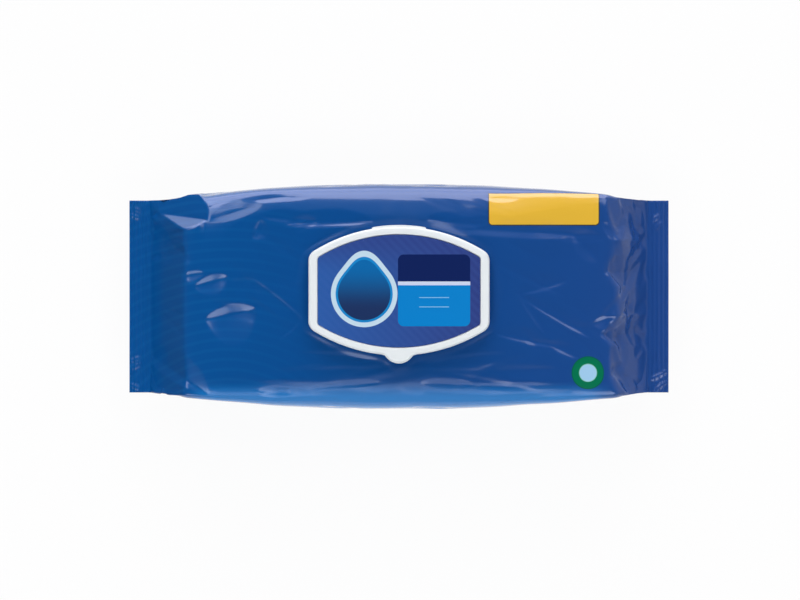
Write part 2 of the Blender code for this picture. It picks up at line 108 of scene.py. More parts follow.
def addNode(tree, kind, inputs=(), operation=None, **settings):
    # a node with its inputs, the operation of a math node, and any other settings
    node = tree.nodes.new("ShaderNode" + kind)
    if operation:
        node.operation = operation
    for name, value in settings.items():
        setattr(node, name, value)
    setInputs(node, inputs)
    return node


def newMaterial(name):
    # with the function that adds its nodes, and its shader
    material = bpy.data.materials.new(name)
    material.use_nodes = True
    tree = material.node_tree
    return material, partial(addNode, tree), tree.nodes["Principled BSDF"]


def smoothStep(value):
    held = np.clip(value, 0.0, 1.0)
    return held * held * (3 - 2 * held)


def arc(first, last, steps):
    # cosine and sine of even steps from one angle to another
    angles = [first + (last - first) * i / steps for i in range(steps + 1)]
    return [(math.cos(angle), math.sin(angle)) for angle in angles]


def addObject(name, data):
    made = bpy.data.objects.new(name, data)
    bpy.context.scene.collection.objects.link(made)
    return made


def meshObject(name, vertices, faces):
    mesh = bpy.data.meshes.new(name)
    mesh.from_pydata([tuple(v) for v in vertices], [], faces)
    mesh.update()
    mesh.shade_smooth()
    return addObject(name, mesh)


def gridFaces(rows, columns, closed=False):
    # the faces between rows of points; a closed grid also joins its last column to the first
    indices = np.arange(rows * columns).reshape(rows, columns)
    if closed:
        indices = np.concatenate([indices, indices[:, :1]], axis=1)
    near, far = indices[:-1], indices[1:]
    return np.stack([near[:, :-1], far[:, :-1], far[:, 1:], near[:, 1:]], -1).reshape(-1, 4)


def giveTo(piece, material, body):
    piece.data.materials.clear()
    piece.data.materials.append(material)
    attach(piece, body)


# Sizes that the film and the wipes share
wipes = {
    "edgeRound": 5 * mm,
    "mostPressed": 0.86,
    "cornerRound": 6 * mm,
    "count": 60,
    "foldDepth": 0.25 * mm,
    "topWipe": 1.1 * mm,
    "belowFilm": 0.15 * mm,
    "filmSpread": (1.004, 1.008),
}

# The film wrapper. An end's wall: X and height of its top, and how softly it meets the top face

film = {
    "sealWidth": 86.2 * mm,
    "sealDepth": 9 * mm,
    "sealHeight": 22 * mm,
    "sealBlend": 1.5 * mm,
    "bodyHeight": 48 * mm,
    "sideMargin": 0.05 * mm,
    "wipesHalfLength": 95 * mm,
    "shoulderPastWipes": 2 * mm,
    "flatCrown": 0.4 * mm,
    "topFullness": 5.1,
    "bottomFullness": 8.0,
    "endFullness": 20.0,
    "sealFullness": 80.0,
    "topShoulderDrop": 0.045,
    "bottomShoulderDrop": 0.01,
    "dropPower": 8,
    "endRoundness": 0.8,
    "leftWall": (95.6 * mm, 45.6 * mm, 0.03),
    "rightWall": (95.2 * mm, 45.8 * mm, 0.04),
    "wallFoot": 0.5 * mm,
    "tuckDepth": 20 * mm,
    "tuckBeforeWipesEnd": 2 * mm,
    "tuckClosed": 3 * mm,
    "layer": 0.3 * mm,
    "slotMargin": 1.5 * mm,
    "clearOfLid": 4 * mm,
    "crimpPitch": 2 * mm,
    "crimpHeight": 0.4 * mm,
    "acrossTop": 150,
    "acrossSide": 40,
    "acrossBottom": 32,
    "along": 340,
    "denserEnds": 0.15,
}
# The long edges of the top: how unevenly they bulge, the dip of the back edge behind the lid,
# and the slack at the back of the left end, where the edge slopes more gently
topEdge = {
    "wander": 0.55,
    "backSpacing": 17 * mm,
    "frontSpacing": 20 * mm,
    "dipPx": 394,
    "dip": 0.6,
    "dipWidth": 6 * mm,
    "dipClear": 16 * mm,
    "slackPx": (207, 290),
    "slackRise": 10 * mm,
    "slackFullness": 4.9,
}
packHalfLength = (cadHigh[0] - cadLow[0]) / 2
bodyHalfWidth = (cadHigh[1] - cadLow[1]) / 2
tubeEnd = packHalfLength - film["sealDepth"]
shoulderX = film["wipesHalfLength"] + film["shoulderPastWipes"]
topRise = film["bodyHeight"] - film["sealHeight"]


def pastShoulder(reach):
    return np.clip((reach - shoulderX) / (tubeEnd - shoulderX), 0, 1)


def endProfile(x, drop):
    # share of the full depth below the seal, as the solid has it
    reach = np.abs(x)
    over = 1 - drop * (reach / shoulderX) ** film["dropPower"]
    end = (1 - drop) * (1 - pastShoulder(reach)) ** film["endRoundness"]
    return np.where(reach <= shoulderX, over, end)


def topProfile(x, drop):
    # share of the full height above the seal: level over the wipes, then a straight slope to a hollow foot
    wallX, wallZ, wallRound = [np.where(x < 0, *pair) for pair in zip(film["leftWall"], film["rightWall"])]
    foot = film["wallFoot"]
    over = 1 - drop * np.minimum(np.abs(x) / shoulderX, 1.2) ** film["dropPower"]
    rise = (wallZ - film["sealHeight"]) / topRise / (np.hypot(tubeEnd - wallX, foot) - foot)
    wall = rise * (np.hypot(np.clip(tubeEnd - np.abs(x), 0, 1), foot) - foot)
    mean, apart = (over + wall) / 2, (over - wall) / 2
    rounding = wallRound * np.clip(wall, 0, 1)
    return np.clip(mean - np.sqrt(apart ** 2 + rounding ** 2), 0, 1)


def wander(x, spacing, rng):
    # an uneven soft line between -1 and 1
    count = 60
    knots = np.cumsum(rng.uniform(0.5 * spacing, 1.5 * spacing, count)) - 1.2 * packHalfLength
    place = np.interp(x, knots, np.arange(count))
    values = rng.uniform(-1, 1, count + 1)
    whole = np.floor(place).astype(int)
    share = smoothStep(place - whole)
    return values[whole] * (1 - share) + values[whole + 1] * share


def sectionFullness(x, middle):
    reach = np.abs(x)
    end = film["endFullness"]
    inner = middle + (end - middle) * np.minimum(reach / shoulderX, 1) ** 3
    return np.where(reach <= shoulderX, inner, end + (film["sealFullness"] - end) * pastShoulder(reach))


def topFullness(x, p, rng):
    # how square the section's upper half is, with the uneven back (p > 0) and front edges
    back, front = [wander(x, topEdge[name], rng) for name in ("backSpacing", "frontSpacing")]
    dipX, slackStart, slackEnd = [fromPx(px, 0)[0] for px in (topEdge["dipPx"], *topEdge["slackPx"])]
    back = back * smoothStep(np.abs(x - dipX) / topEdge["dipClear"])
    back = back - topEdge["dip"] * np.exp(-((x - dipX) / topEdge["dipWidth"]) ** 2)
    uneven = np.where(p > 0, back, front) * topEdge["wander"] * np.clip(1 - (x / shoulderX) ** 4, 0, 1)
    power = sectionFullness(x, film["topFullness"]) + uneven
    rises = smoothStep((x - slackStart) / topEdge["slackRise"] + 1)
    falls = 1 - smoothStep((x - slackStart) / (slackEnd - slackStart))
    return power + (topEdge["slackFullness"] - power) * rises * falls * (p > 0)


def tuckAt(x):
    start = film["wipesHalfLength"] - film["tuckBeforeWipesEnd"]
    closes = tubeEnd - film["tuckClosed"]
    return film["tuckDepth"] * smoothStep((np.abs(x) - start) / (closes - start))


def walkRoundSquare():
    top, side, bottom = film["acrossTop"], film["acrossSide"], film["acrossBottom"]
    points = [(1.0, -1 + 2 * i / side) for i in range(side)]
    points += [(1 - 2 * i / top, 1.0) for i in range(top)]
    points += [(-1.0, 1 - 2 * i / side) for i in range(side)]
    points += [(-1 + 2 * i / bottom, -1.0) for i in range(bottom)]
    return np.array(points)


def filmStations():
    # closer together at the folded ends and the crimped seals
    t = np.linspace(-1, 1, film["along"] + 1)
    return packHalfLength * ((1 + film["denserEnds"]) * t - film["denserEnds"] * t ** 5)


def filmSurface(x, walk, rng):
    # the same section formula as the solid: a pillow in the middle, square on the wipes, flat at the seals
    p, q = walk[None, :, 0], walk[None, :, 1]
    x = x[:, None] + 0 * p
    bow = np.clip(1 - (x / tubeEnd) ** 2, 0, 1)
    halfSeal = film["sealWidth"] / 2
    halfWidth = halfSeal + (bodyHalfWidth - film["sideMargin"] - halfSeal) * bow
    upper = topProfile(x, film["topShoulderDrop"])
    lower = endProfile(x, film["bottomShoulderDrop"])
    layer = film["layer"]
    above = (topRise + film["flatCrown"]) * upper + layer * (1 - upper)
    below = (film["sealHeight"] + film["flatCrown"]) * lower + layer * (1 - lower)
    power = np.where(q > 0, topFullness(x, p, rng), sectionFullness(x, film["bottomFullness"]))
    reach = (np.abs(p) ** power + np.abs(q) ** power) ** (-1 / power)
    y = p * reach * halfWidth
    z = q * reach * np.where(q > 0, above, below)
    y = y - np.where(np.abs(p) == 1, np.sign(p) * tuckAt(x) * (1 - np.abs(q)), 0)
    z = np.clip(z + film["sealHeight"], 0.0, film["bodyHeight"])
    return np.stack([x, y, z], -1)


def surfaceNormals(points):
    # outward normals of the grid, from its neighbours
    alongX = np.gradient(points, axis=0)
    roundRing = np.roll(points, -1, axis=1) - np.roll(points, 1, axis=1)
    normal = np.cross(roundRing, alongX)
    normal = normal / np.maximum(np.linalg.norm(normal, axis=-1, keepdims=True), 1e-12)
    middle = points.mean(axis=1, keepdims=True)
    return normal * np.sign(((points - middle) * normal).sum(-1).mean())


# Folds of the film seen from above: each from x, y to x, y on the photo, then its height in mm,
# a minus for a dip, and the width of its left and right face in mm
topFolds = [
    # tension lines above and below the lid
    (262, 217, 318, 222, -0.4, 4, 1.8), (286, 225, 373, 222, -0.85, 6, 1.7),
    (427, 220, 484, 225, -0.5, 4.4, 2.2), (430, 228, 598, 236, -0.7, 6.5, 2.6),
    (300, 353, 380, 360, -0.3, 2.2, 3.8), (424, 364, 505, 353, -0.3, 2.2, 3.6),
    (270, 372, 385, 367, -0.25, 3, 5), (430, 371, 560, 369, -0.3, 3, 6),
    # left end: the faces beside the folded corner
    (211, 221, 262, 205, -0.5, 5, 2.6), (150, 203, 196, 197, -0.35, 2, 2),
    (146, 224, 192, 262, -0.8, 3.4, 9), (140, 350, 209, 393, -1.1, 9, 3.2),
    (129, 390, 214, 396, 0.5, 1.6, 1.8), (129, 204, 166, 226, 0.5, 1.4, 1.6),
    (255, 240, 263, 220, -0.5, 1.6, 5),
    # left end: glints
    (196, 287, 229, 277, -0.85, 2.7, 6), (183, 277, 206, 273, -0.4, 1.6, 3),
    (207, 320, 257, 309, -1.3, 4.2, 14), (231, 282, 254, 280, -0.2, 1.2, 5),
    (253, 279, 303, 319, -0.28, 1.3, 6), (248, 296, 284, 322, -0.2, 1.2, 5),
    (303, 318, 279, 340, -0.26, 1.3, 6),
    # right end: long thin lines that meet, and the pocket
    (516, 295, 566, 281, -0.34, 6, 1.2), (516, 293, 548, 338, -0.25, 6, 1.1),
    (518, 296, 590, 338, -0.36, 6, 1.1), (494, 333, 552, 346, -0.36, 6, 1.1),
    (548, 344, 578, 358, -0.32, 6, 1.1), (591, 324, 611, 317, -0.5, 1.3, 3.6),
    (599, 334, 625, 337, -0.6, 3, 1.6), (610, 196, 618, 232, -0.8, 4, 2.4),
    (572, 236, 596, 262, -0.4, 5, 4),
    # right end: faces along its shoulder
    (608, 236, 622, 284, -0.9, 2.2, 3.4), (616, 300, 640, 262, -0.9, 3.4, 2),
    (622, 300, 650, 352, -0.8, 2.2, 3.6), (628, 262, 650, 232, -0.8, 3, 1.8),
    (612, 346, 626, 392, -0.8, 2, 3.4), (630, 205, 646, 250, -0.7, 1.8, 3),
]
# Crinkles pressed into the seals
sealFolds = [
    (129, 362, 141, 357, 0.3, 1.2, 1.2), (131, 369, 141, 363, 0.3, 1, 1.2),
    (130, 214, 140, 219, 0.3, 1.2, 1), (133, 208, 141, 212, 0.25, 1, 1),
    (130, 384, 140, 390, 0.3, 1.2, 1.2), (652, 222, 661, 214, 0.3, 1.2, 1),
    (655, 230, 663, 221, 0.25, 1, 1.2), (650, 380, 664, 374, 0.35, 1.2, 1.2),
    (655, 390, 668, 381, 0.35, 1.2, 1), (652, 396, 662, 386, 0.3, 1, 1.2),
    (660, 376, 668, 370, 0.3, 1, 1),
]
# Small extra folds by region of the photo: how many, the region's corners, the folds' direction and
# its spread in degrees, then the ranges of depth in mm, length in pixels and width in mm
scatteredFolds = [
    (6, (150, 290), (180, 370), 55, 24, (0.1, 0.25), (14, 40), (2, 4.5)),
    (30, (608, 200), (654, 395), 95, 28, (0.2, 0.7), (12, 50), (1.4, 4)),
    (12, (215, 186), (600, 202), 2, 9, (0.12, 0.32), (30, 90), (2, 4)),
    (14, (215, 381), (540, 400), -2, 9, (0.12, 0.35), (30, 100), (2, 5)),
    (12, (148, 228), (186, 258), -40, 20, (0.15, 0.4), (8, 24), (1, 2.2)),
    (10, (215, 208), (590, 240), 3, 12, (0.08, 0.25), (30, 80), (2, 5)),
    (10, (215, 362), (560, 384), -3, 12, (0.05, 0.16), (30, 80), (2, 5)),
    (10, (500, 245), (600, 345), 30, 30, (0.05, 0.16), (30, 80), (2, 5)),
    (8, (215, 245), (300, 345), 28, 26, (0.05, 0.16), (30, 80), (2, 5)),
]
# The same for the long sides, with the height above the seal in the place of Y
sideFolds = (44, (150, 268), (650, 330), 6, 16, (0.25, 0.7), (30, 110), (2, 6))
foldForm = {
    "pointed": 0.7,
    "crestRound": 0.4 * mm,
    "footRound": 0.004,
    "footSunk": 0.0005,
    "narrowShare": 0.6,
}
# The slow unevenness of the slack film, and how far the film is sunk to leave room for it in the box
slack = {
    "height": 0.14 * mm,
    "shortest": 18 * mm,
    "longest": 60 * mm,
    "waves": 9,
    "bottomShare": 0.3,
    "sunk": 0.35 * mm,
    "bottomSunk": 0.2 * mm,
    "sealWave": 0.3 * mm,
    "sealPitches": (14 * mm, 5.3 * mm),
    "sealWaveFrom": 6 * mm,
    "sealWaveOver": 14 * mm,
}
# The corner that is folded down at the back of the left end: three places on its face, with their height
# in mm. The fold runs from the first to the second, and a steep face rises to the top in front of it.
foldedCorner = {
    "face": [((143, 211), 22.0), ((210, 221), 46.8), ((205, 194), 41.5)],
    "rise": 1.3,
    "wipesBelow": 2.4 * mm,
    "sideBelow": 0.6 * mm,
}
# Where the right end's wall begins, as y, x down the photo: the film's shoulder isn't straight there
rightShoulder = {
    "middlePx": 610,
    "linePx": [(196, 606), (226, 609), (240, 617), (256, 613), (272, 606), (286, 614), (316, 616),
               (334, 602), (346, 609), (375, 608), (392, 615)],
    "starts": 88 * mm,
    "whole": 96 * mm,
}


def cornerHeight(x, y):
    # height of the folded corner's face and of the steep face in front of it
    places = [fromPx(*place) for place, _ in foldedCorner["face"]]
    heights = [high * mm for _, high in foldedCorner["face"]]
    plane = np.linalg.solve([(px, py, 1.0) for px, py in places], heights)
    (ax, ay), (bx, by) = places[:2]
    ahead = ((x - ax) * (by - ay) - (y - ay) * (bx - ax)) / math.hypot(bx - ax, by - ay)
    return plane[0] * x + plane[1] * y + plane[2] + foldedCorner["rise"] * np.maximum(ahead, 0)


def foldHeight(x, y, folds):
    # A fold is a crest or a dip with two flat faces that narrow to a point at both ends.
    # The slope of a face stays the same along it, so each face takes one tone.
    total = np.zeros_like(x)
    rounding = foldForm["crestRound"]
    for startX, startY, endX, endY, heightMm, leftMm, rightMm in folds:
        ax, ay = fromPx(startX, startY)
        bx, by = fromPx(endX, endY)
        length = math.hypot(bx - ax, by - ay)
        ux, uy = (bx - ax) / length, (by - ay) / length
        along = ((x - ax) * ux + (y - ay) * uy) / length
        across = -(x - ax) * uy + (y - ay) * ux
        lens = np.clip(4 * along * (1 - along), 0, 1) ** foldForm["pointed"]
        width = np.where(across > 0, leftMm, rightMm) * mm
        away = np.sqrt(across ** 2 + rounding ** 2) - rounding
        share = lens - away / width
        share = 0.5 * (share + np.sqrt(share ** 2 + foldForm["footRound"])) - foldForm["footSunk"]
        total += heightMm * mm * np.clip(share, 0, 1) * (lens > 0)
    return total


def scatterFolds(region, rng):
    # small folds in a region, mostly along one direction, each with a wide and a narrow face
    count, low, high, slope, spread, heights, lengths, widths = region
    made = []
    for _ in range(count):
        x = rng.uniform(low[0], high[0])
        y = rng.uniform(low[1], high[1])
        turn = math.radians(rng.normal(slope, spread))
        half = rng.uniform(*lengths) / 2
        dx, dy = half * math.cos(turn), half * math.sin(turn)
        height = -rng.uniform(*heights)
        wide, narrow = rng.uniform(*widths), rng.uniform(*widths) * foldForm["narrowShare"]
        left, right = (wide, narrow) if rng.random() < 0.5 else (narrow, wide)
        made.append((x - dx, y - dy, x + dx, y + dy, height, left, right))
    return made


def waves(x, y, rng, count, shortest, longest):
    # slow unevenness of slack film, height within about 1
    total = np.zeros_like(x)
    for _ in range(count):
        length = rng.uniform(shortest, longest)
        turn = rng.uniform(0, math.pi)
        along = x * math.cos(turn) + y * math.sin(turn)
        total += np.sin(2 * math.pi * along / length + rng.uniform(0, 6.28))
    return total / math.sqrt(count)


def reachOf(ring, x, y):
    # how far from the lid's centre a ring lies in the direction of each place, and the place's own distance
    outline = np.array(ring)
    turns = np.arctan2(outline[:, 1] - lidCentreY, outline[:, 0])
    order = np.argsort(turns)
    reach = np.hypot(outline[:, 0], outline[:, 1] - lidCentreY)[order]
    y = y - lidCentreY
    limit = np.interp(np.arctan2(y, x), turns[order], reach, period=2 * math.pi)
    return limit, np.maximum(np.hypot(x, y), 1e-9)


def lidClearance(x, y):
    # 0 under the frame, 1 on free film
    limit, away = reachOf(barrelRing("lid", 0.0, 0.0, lid["tabReach"]), x, y)
    return smoothStep((away - limit) / film["clearOfLid"])


def droopOfWipes(x, y):
    # how far the rounded edges of the stack lie below its top, and which places are over it
    _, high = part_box("wipes_stack")
    edge = wipes["edgeRound"]
    inX = np.clip((np.abs(x) - (high[0] - edge)) / edge, 0, None)
    inY = np.clip((np.abs(y) - (high[1] - edge)) / edge, 0, None)
    off = np.hypot(inX, inY)
    return edge * (1 - np.sqrt(1 - np.minimum(off, 1) ** 2)), off < 1


def heightOfWipes(x, y):
    # the lowest place of the film over the wipes and the top wipe that lies on them
    spreadX, spreadY = wipes["filmSpread"]
    droop, over = droopOfWipes(x / spreadX, y / spreadY)
    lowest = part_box("wipes_stack")[1][2] + wipes["topWipe"] + wipes["belowFilm"] - droop
    return np.where(over, np.minimum(lowest, cornerHeight(x, y)), -1.0)


def shoulderShift(x, y):
    # how far out the right end's shoulder lies from its middle line, at y
    pxY = view["packCentrePx"][1] - y / (view["mmPerPx"] * mm)
    ys = [row[0] for row in rightShoulder["linePx"]]
    xs = [fromPx(row[1], 0)[0] for row in rightShoulder["linePx"]]
    right = np.interp(pxY, ys, xs) - fromPx(rightShoulder["middlePx"], 0)[0]
    return np.where(x > 0, right, 0.0)


def drawToSlot(points, onTop):
    # the film's dispensing hole: its places inside the slot's outline go out to it
    px, py, _ = np.moveaxis(points, -1, 0)
    limit, away = reachOf(barrelRing("slot", -film["slotMargin"], 0.0), px, py)
    inside = onTop & (away < limit)
    scale = np.where(inside, limit / away, 1.0)
    px *= scale
    py[:] = (py - lidCentreY) * scale + lidCentreY
    return inside


def foldMoves(x, y, z, onTop, onSide, onBottom, rng):
    # how far folds and slack move the film along its normal
    scattered = [fold for region in scatteredFolds for fold in scatterFolds(region, rng)]
    top = foldHeight(x, y, topFolds + scattered) * onTop
    side = foldHeight(x, z - film["sealHeight"], scatterFolds(sideFolds, rng)) * onSide
    slow = waves(x, y * 1.3 + z * 0.8, rng, slack["waves"], slack["shortest"], slack["longest"])
    slow = slow * slack["height"] * np.where(onBottom, slack["bottomShare"], 1.0)
    sunk = np.where(onBottom, slack["bottomSunk"], slack["sunk"])
    return (top + side + slow - sunk) * np.where(onTop, lidClearance(x, y), 1.0)


def shapeEnds(points, x, y, z, free):
    # the right wall follows its wandering shoulder, and the seals are crimped and wave a little
    begins, blend = rightShoulder["starts"], rightShoulder["whole"] - rightShoulder["starts"]
    nearEnd = smoothStep((np.abs(x) - begins) / blend) * free
    level = np.clip((z - film["sealHeight"]) / topRise, 0, 1)
    px, _, pz = np.moveaxis(points, -1, 0)
    px += shoulderShift(x, y) * nearEnd * level
    ridge = film["crimpHeight"] / 2 * np.sin(2 * math.pi * (np.abs(x) - tubeEnd) / film["crimpPitch"] + 0.6)
    pz += (ridge + foldHeight(x, y, sealFolds)) * (1 - free)
    longPitch, shortPitch = slack["sealPitches"]
    bend = np.sin(y / longPitch + np.sign(x)) + 0.5 * np.sin(y / shortPitch)
    share = smoothStep((np.abs(x) - tubeEnd + slack["sealWaveFrom"]) / slack["sealWaveOver"])
    pz += slack["sealWave"] * bend * share
    pz[:] = np.clip(pz, 0.0, film["bodyHeight"] + 0.02 * mm)


def layOnWipes(points, q, onTop, onSide, onBottom, free):
    # the corner is folded down over the side's film, and the top stays over the wipes
    px, py, pz = np.moveaxis(points, -1, 0)
    cut = np.maximum(pz - cornerHeight(px, py), 0)
    under = foldedCorner["sideBelow"] * (1 - q) * onSide * (cut > 0)
    pz -= np.where(onBottom, 0, (cut + under) * free)
    pz[:] = np.where(onTop, np.maximum(pz, heightOfWipes(px, py)), pz)


def buildFilm():
    rng = np.random.default_rng(seed)
    walk = walkRoundSquare()
    flatPoints = filmSurface(filmStations(), walk, rng)
    x, y, z = np.moveaxis(flatPoints, -1, 0)
    p, q = walk[None, :, 0] + 0 * x, walk[None, :, 1] + 0 * x
    onTop, onSide, onBottom = q == 1, np.abs(p) == 1, q == -1
    free = 1 - smoothStep((np.abs(x) - tubeEnd + film["sealBlend"]) / film["sealBlend"])
    move = foldMoves(x, y, z, onTop, onSide, onBottom, rng) * free
    points = flatPoints + surfaceNormals(flatPoints) * move[..., None]
    shapeEnds(points, x, y, z, free)
    layOnWipes(points, q, onTop, onSide, onBottom, free)
    hole = drawToSlot(points, onTop).reshape(-1)
    rows, ring = x.shape
    faces = gridFaces(rows, ring, closed=True)
    faces = faces[~hole[faces].all(axis=1)].tolist()
    faces += [list(range(ring))[::-1], list(range((rows - 1) * ring, rows * ring))]
    made = meshObject("film_wrapper", points.reshape(-1, 3).tolist(), faces)
    # flattened film: u runs along the pack, v round the tube from the middle of the top
    topMiddle = film["acrossSide"] + film["acrossTop"] // 2
    step = np.linalg.norm(np.diff(flatPoints, axis=1), axis=-1)
    arc = np.concatenate([np.zeros((rows, 1)), np.cumsum(step, axis=1)], axis=1)
    flat = np.stack([x, arc[:, topMiddle:topMiddle + 1] - arc, 0 * x], -1)
    attribute = made.data.attributes.new("film_flat", "FLOAT_VECTOR", "POINT")
    attribute.data.foreach_set("vector", flat.reshape(-1).astype(np.float32))
    shaped = bmesh.new()
    shaped.from_mesh(made.data)
    bmesh.ops.delete(shaped, geom=[vert for vert in shaped.verts if not vert.link_faces], context="VERTS")
    shaped.to_mesh(made.data)
    shaped.free()
    return made


# Lid, frame and label share one barrel outline: its long sides are arcs
outlines = {
    "lid": {"length": 79.6 * mm, "width": 56.6 * mm, "arcRadius": 71 * mm, "corner": 5 * mm},
    "recess": {"length": 71.8 * mm, "width": 50 * mm, "arcRadius": 68 * mm, "corner": 1.5 * mm},
    "slot": {"length": 53 * mm, "width": 28 * mm, "arcRadius": 40 * mm, "corner": 6 * mm},
}
lid = {
    "edgeRound": 1.3 * mm,
    "wall": 1.4 * mm,
    "topWall": 1.1 * mm,
    "recessDepth": 0.9 * mm,
    "recessLip": 0.28 * mm,
    "lipWidth": 0.75 * mm,
    "rimFlatFrom": 2.1 * mm,
    "tabReach": 3.6 * mm,
    "tabNoseRadius": 7.5 * mm,
    "tabHalfWidth": 8.4 * mm,
    "tabThickness": 1.9 * mm,
    "tabFilletFrom": 5.2 * mm,
    "tabFillet": 0.55,
    "tabFades": 6 * mm,
    "hingeLength": 23.7 * mm,
    "hingeStrap": 0.7 * mm,
    "hingeBulge": 0.7 * mm,
    "hingeRoot": 0.9 * mm,
    "hingeRound": 0.22 * mm,
    "hingeMargin": 0.02 * mm,
    "frameWall": 2.7 * mm,
    "partingGap": 0.3 * mm,
    "ribSpacing": 6 * mm,
    "ribWidth": 0.9 * mm,
    "ribHeight": 0.8 * mm,
    "catchHalfLength": 6 * mm,
    "catchDepth": 1.1 * mm,
    "catchGap": 0.35 * mm,
    "rimWall": 1.2 * mm,
    "ringGap": 0.4 * mm,
    "ringWall": 1.0 * mm,
    "deck": 1.2 * mm,
    "sharpestCorner": 0.2 * mm,
    "cornerSteps": 10,
    "arcSteps": 100,
}
frameLow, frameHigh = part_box("lid_frame")
lidLow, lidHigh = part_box("lid")
labelLow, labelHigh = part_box("lid_label")
lidCentreY = (labelLow[1] + labelHigh[1]) / 2
frameWallTop = frameLow[2] + lid["frameWall"]
skirtBottom = frameWallTop + lid["partingGap"]


def barrelRing(outline, inset, z, tab=0.0):
    # one loop of a barrel outline, drawn in by inset; tab pushes the front edge out for the thumb
    sizes = outlines[outline]
    halfLength = sizes["length"] / 2 - inset
    radius = sizes["arcRadius"] - inset
    corner = max(sizes["corner"] - inset, lid["sharpestCorner"])
    arcY = sizes["width"] / 2 - inset - radius
    cornerX = halfLength - corner
    cornerY = arcY + math.sqrt((radius - corner) ** 2 - cornerX ** 2)
    turn = math.atan2(cornerY - arcY, cornerX)
    quarter = [(cornerX + corner * c, cornerY + corner * s) for c, s in arc(0, turn, lid["cornerSteps"])]
    longSide = arc(turn, math.pi / 2, lid["arcSteps"] // 2)
    quarter += [(radius * c, arcY + radius * s) for c, s in longSide[1:]]
    upper = quarter + [(-px, py) for px, py in reversed(quarter[:-1])]
    lower = [(px, -py) for px, py in reversed(upper)]
    ring = []
    for px, py in upper + lower:
        if tab and py < 0:
            py -= tab * tabShape(px, inset)
        ring.append((px, py + lidCentreY, z))
    return ring


def tabShape(x, inset):
    # share of the tab's reach at x: a round nose with hollow fillets to the edge
    nose = lid["tabNoseRadius"]
    out = abs(x) / max(1 - inset / lid["tabFades"], 0.3)
    if out >= lid["tabHalfWidth"]:
        return 0.0
    drop = nose - math.sqrt(max(nose ** 2 - min(out, nose) ** 2, 0.0))
    share = max(1 - drop / lid["tabReach"], 0.0)
    ease = 1 - out / lid["tabHalfWidth"]
    fillet = lid["tabFillet"] * ease ** 2 * (3 - 2 * ease) if out > lid["tabFilletFrom"] else 0.0
    return max(share, fillet)


def loftRings(name, rings, closed=False):
    vertices = [point for ring in rings for point in ring]
    count = len(rings[0])
    faces = []
    for r in range(len(rings) if closed else len(rings) - 1):
        a, b = r * count, ((r + 1) % len(rings)) * count
        for i in range(count):
            j = (i + 1) % count
            faces.append((a + i, a + j, b + j, b + i))
    if not closed:
        faces.append(tuple(reversed(range(count))))
        faces.append(tuple((len(rings) - 1) * count + i for i in range(count)))
    made = meshObject(name, vertices, faces)
    shaped = bmesh.new()
    shaped.from_mesh(made.data)
    bmesh.ops.recalc_face_normals(shaped, faces=shaped.faces)
    shaped.to_mesh(made.data)
    shaped.free()
    made.data.set_sharp_from_angle(angle=math.radians(50))
    return made


def buildLidCover():
    # skirt, thumb tab, rounded top edge, and the label's recess with a soft lip
    bottom, top = skirtBottom, lidHigh[2]
    floor = top - lid["recessDepth"]
    tabUnder = top - lid["tabThickness"]
    wall, rounding, lip, reach = lid["wall"], lid["edgeRound"], lid["recessLip"], lid["tabReach"]
    soft, tabSoft = 0.15 * mm, 0.25 * mm
    outside = [
        (wall, floor - lid["topWall"]), (wall, bottom + soft), (wall - soft, bottom), (soft, bottom),
        (0.0, bottom + soft), (0.0, tabUnder), (0.0, tabUnder, reach - tabSoft),
        (0.0, tabUnder + tabSoft, reach),
    ]
    for c, s in arc(0, math.pi / 2, 8):
        outside.append((rounding * (1 - c) * 0.8, top - rounding * (1 - s), reach))
    outside.append((lid["rimFlatFrom"], top, reach * 0.86))
    recess = [(-lid["lipWidth"], top), (-lip, top)]
    recess += [(-lip * (1 - s), top - lip * (1 - c)) for c, s in arc(0, math.pi / 2, 5)[1:]]
    recess += [(0.02 * mm, floor + soft), (0.02 * mm + soft, floor)]
    rings = [barrelRing("lid", *row) for row in outside] + [barrelRing("recess", *row) for row in recess]
    return loftRings("flip_lid", rings)


def buildSealingRing():
    inner = -(lid["rimWall"] + lid["ringGap"])
    outer = inner - lid["ringWall"]
    low = lidLow[2]
    high = lidHigh[2] - lid["recessDepth"] - lid["topWall"] + 0.1 * mm
    soft, softHigh = 0.2 * mm, 0.3 * mm
    rows = [(inner, high), (inner, low + softHigh), (inner - soft, low),
            (outer + soft, low), (outer, low + softHigh), (outer, high)]
    return loftRings("lid_sealing_ring", [barrelRing("slot", *row) for row in rows], closed=True)


def buildFrameTray():
    # the rim round the slot, the deck and the wall that the lid's skirt meets
    low, wallTop, rimTop = frameLow[2], frameWallTop, frameHigh[2]
    deck = low + lid["deck"]
    rim, wall = -lid["rimWall"], lid["wall"]
    slot = [
        (0.0, low + 0.1 * mm), (0.0, rimTop - 0.35 * mm), (-0.12 * mm, rimTop - 0.1 * mm),
        (-0.35 * mm, rimTop), (rim + 0.35 * mm, rimTop), (rim + 0.1 * mm, rimTop - 0.12 * mm),
        (rim, rimTop - 0.35 * mm), (rim, deck + 0.35 * mm), (rim - 0.1 * mm, deck + 0.1 * mm),
        (rim - 0.4 * mm, deck),
    ]
    outside = [
        (wall + 0.4 * mm, deck), (wall + 0.1 * mm, deck + 0.1 * mm), (wall, deck + 0.4 * mm),
        (wall, wallTop - 0.15 * mm), (wall - 0.15 * mm, wallTop), (0.2 * mm, wallTop),
        (0.0, wallTop - 0.2 * mm), (0.0, low + 0.2 * mm), (0.2 * mm, low),
    ]
    rings = [barrelRing("slot", *row) for row in slot] + [barrelRing("lid", *row) for row in outside]
    return loftRings("lid_frame_tray", rings, closed=True)


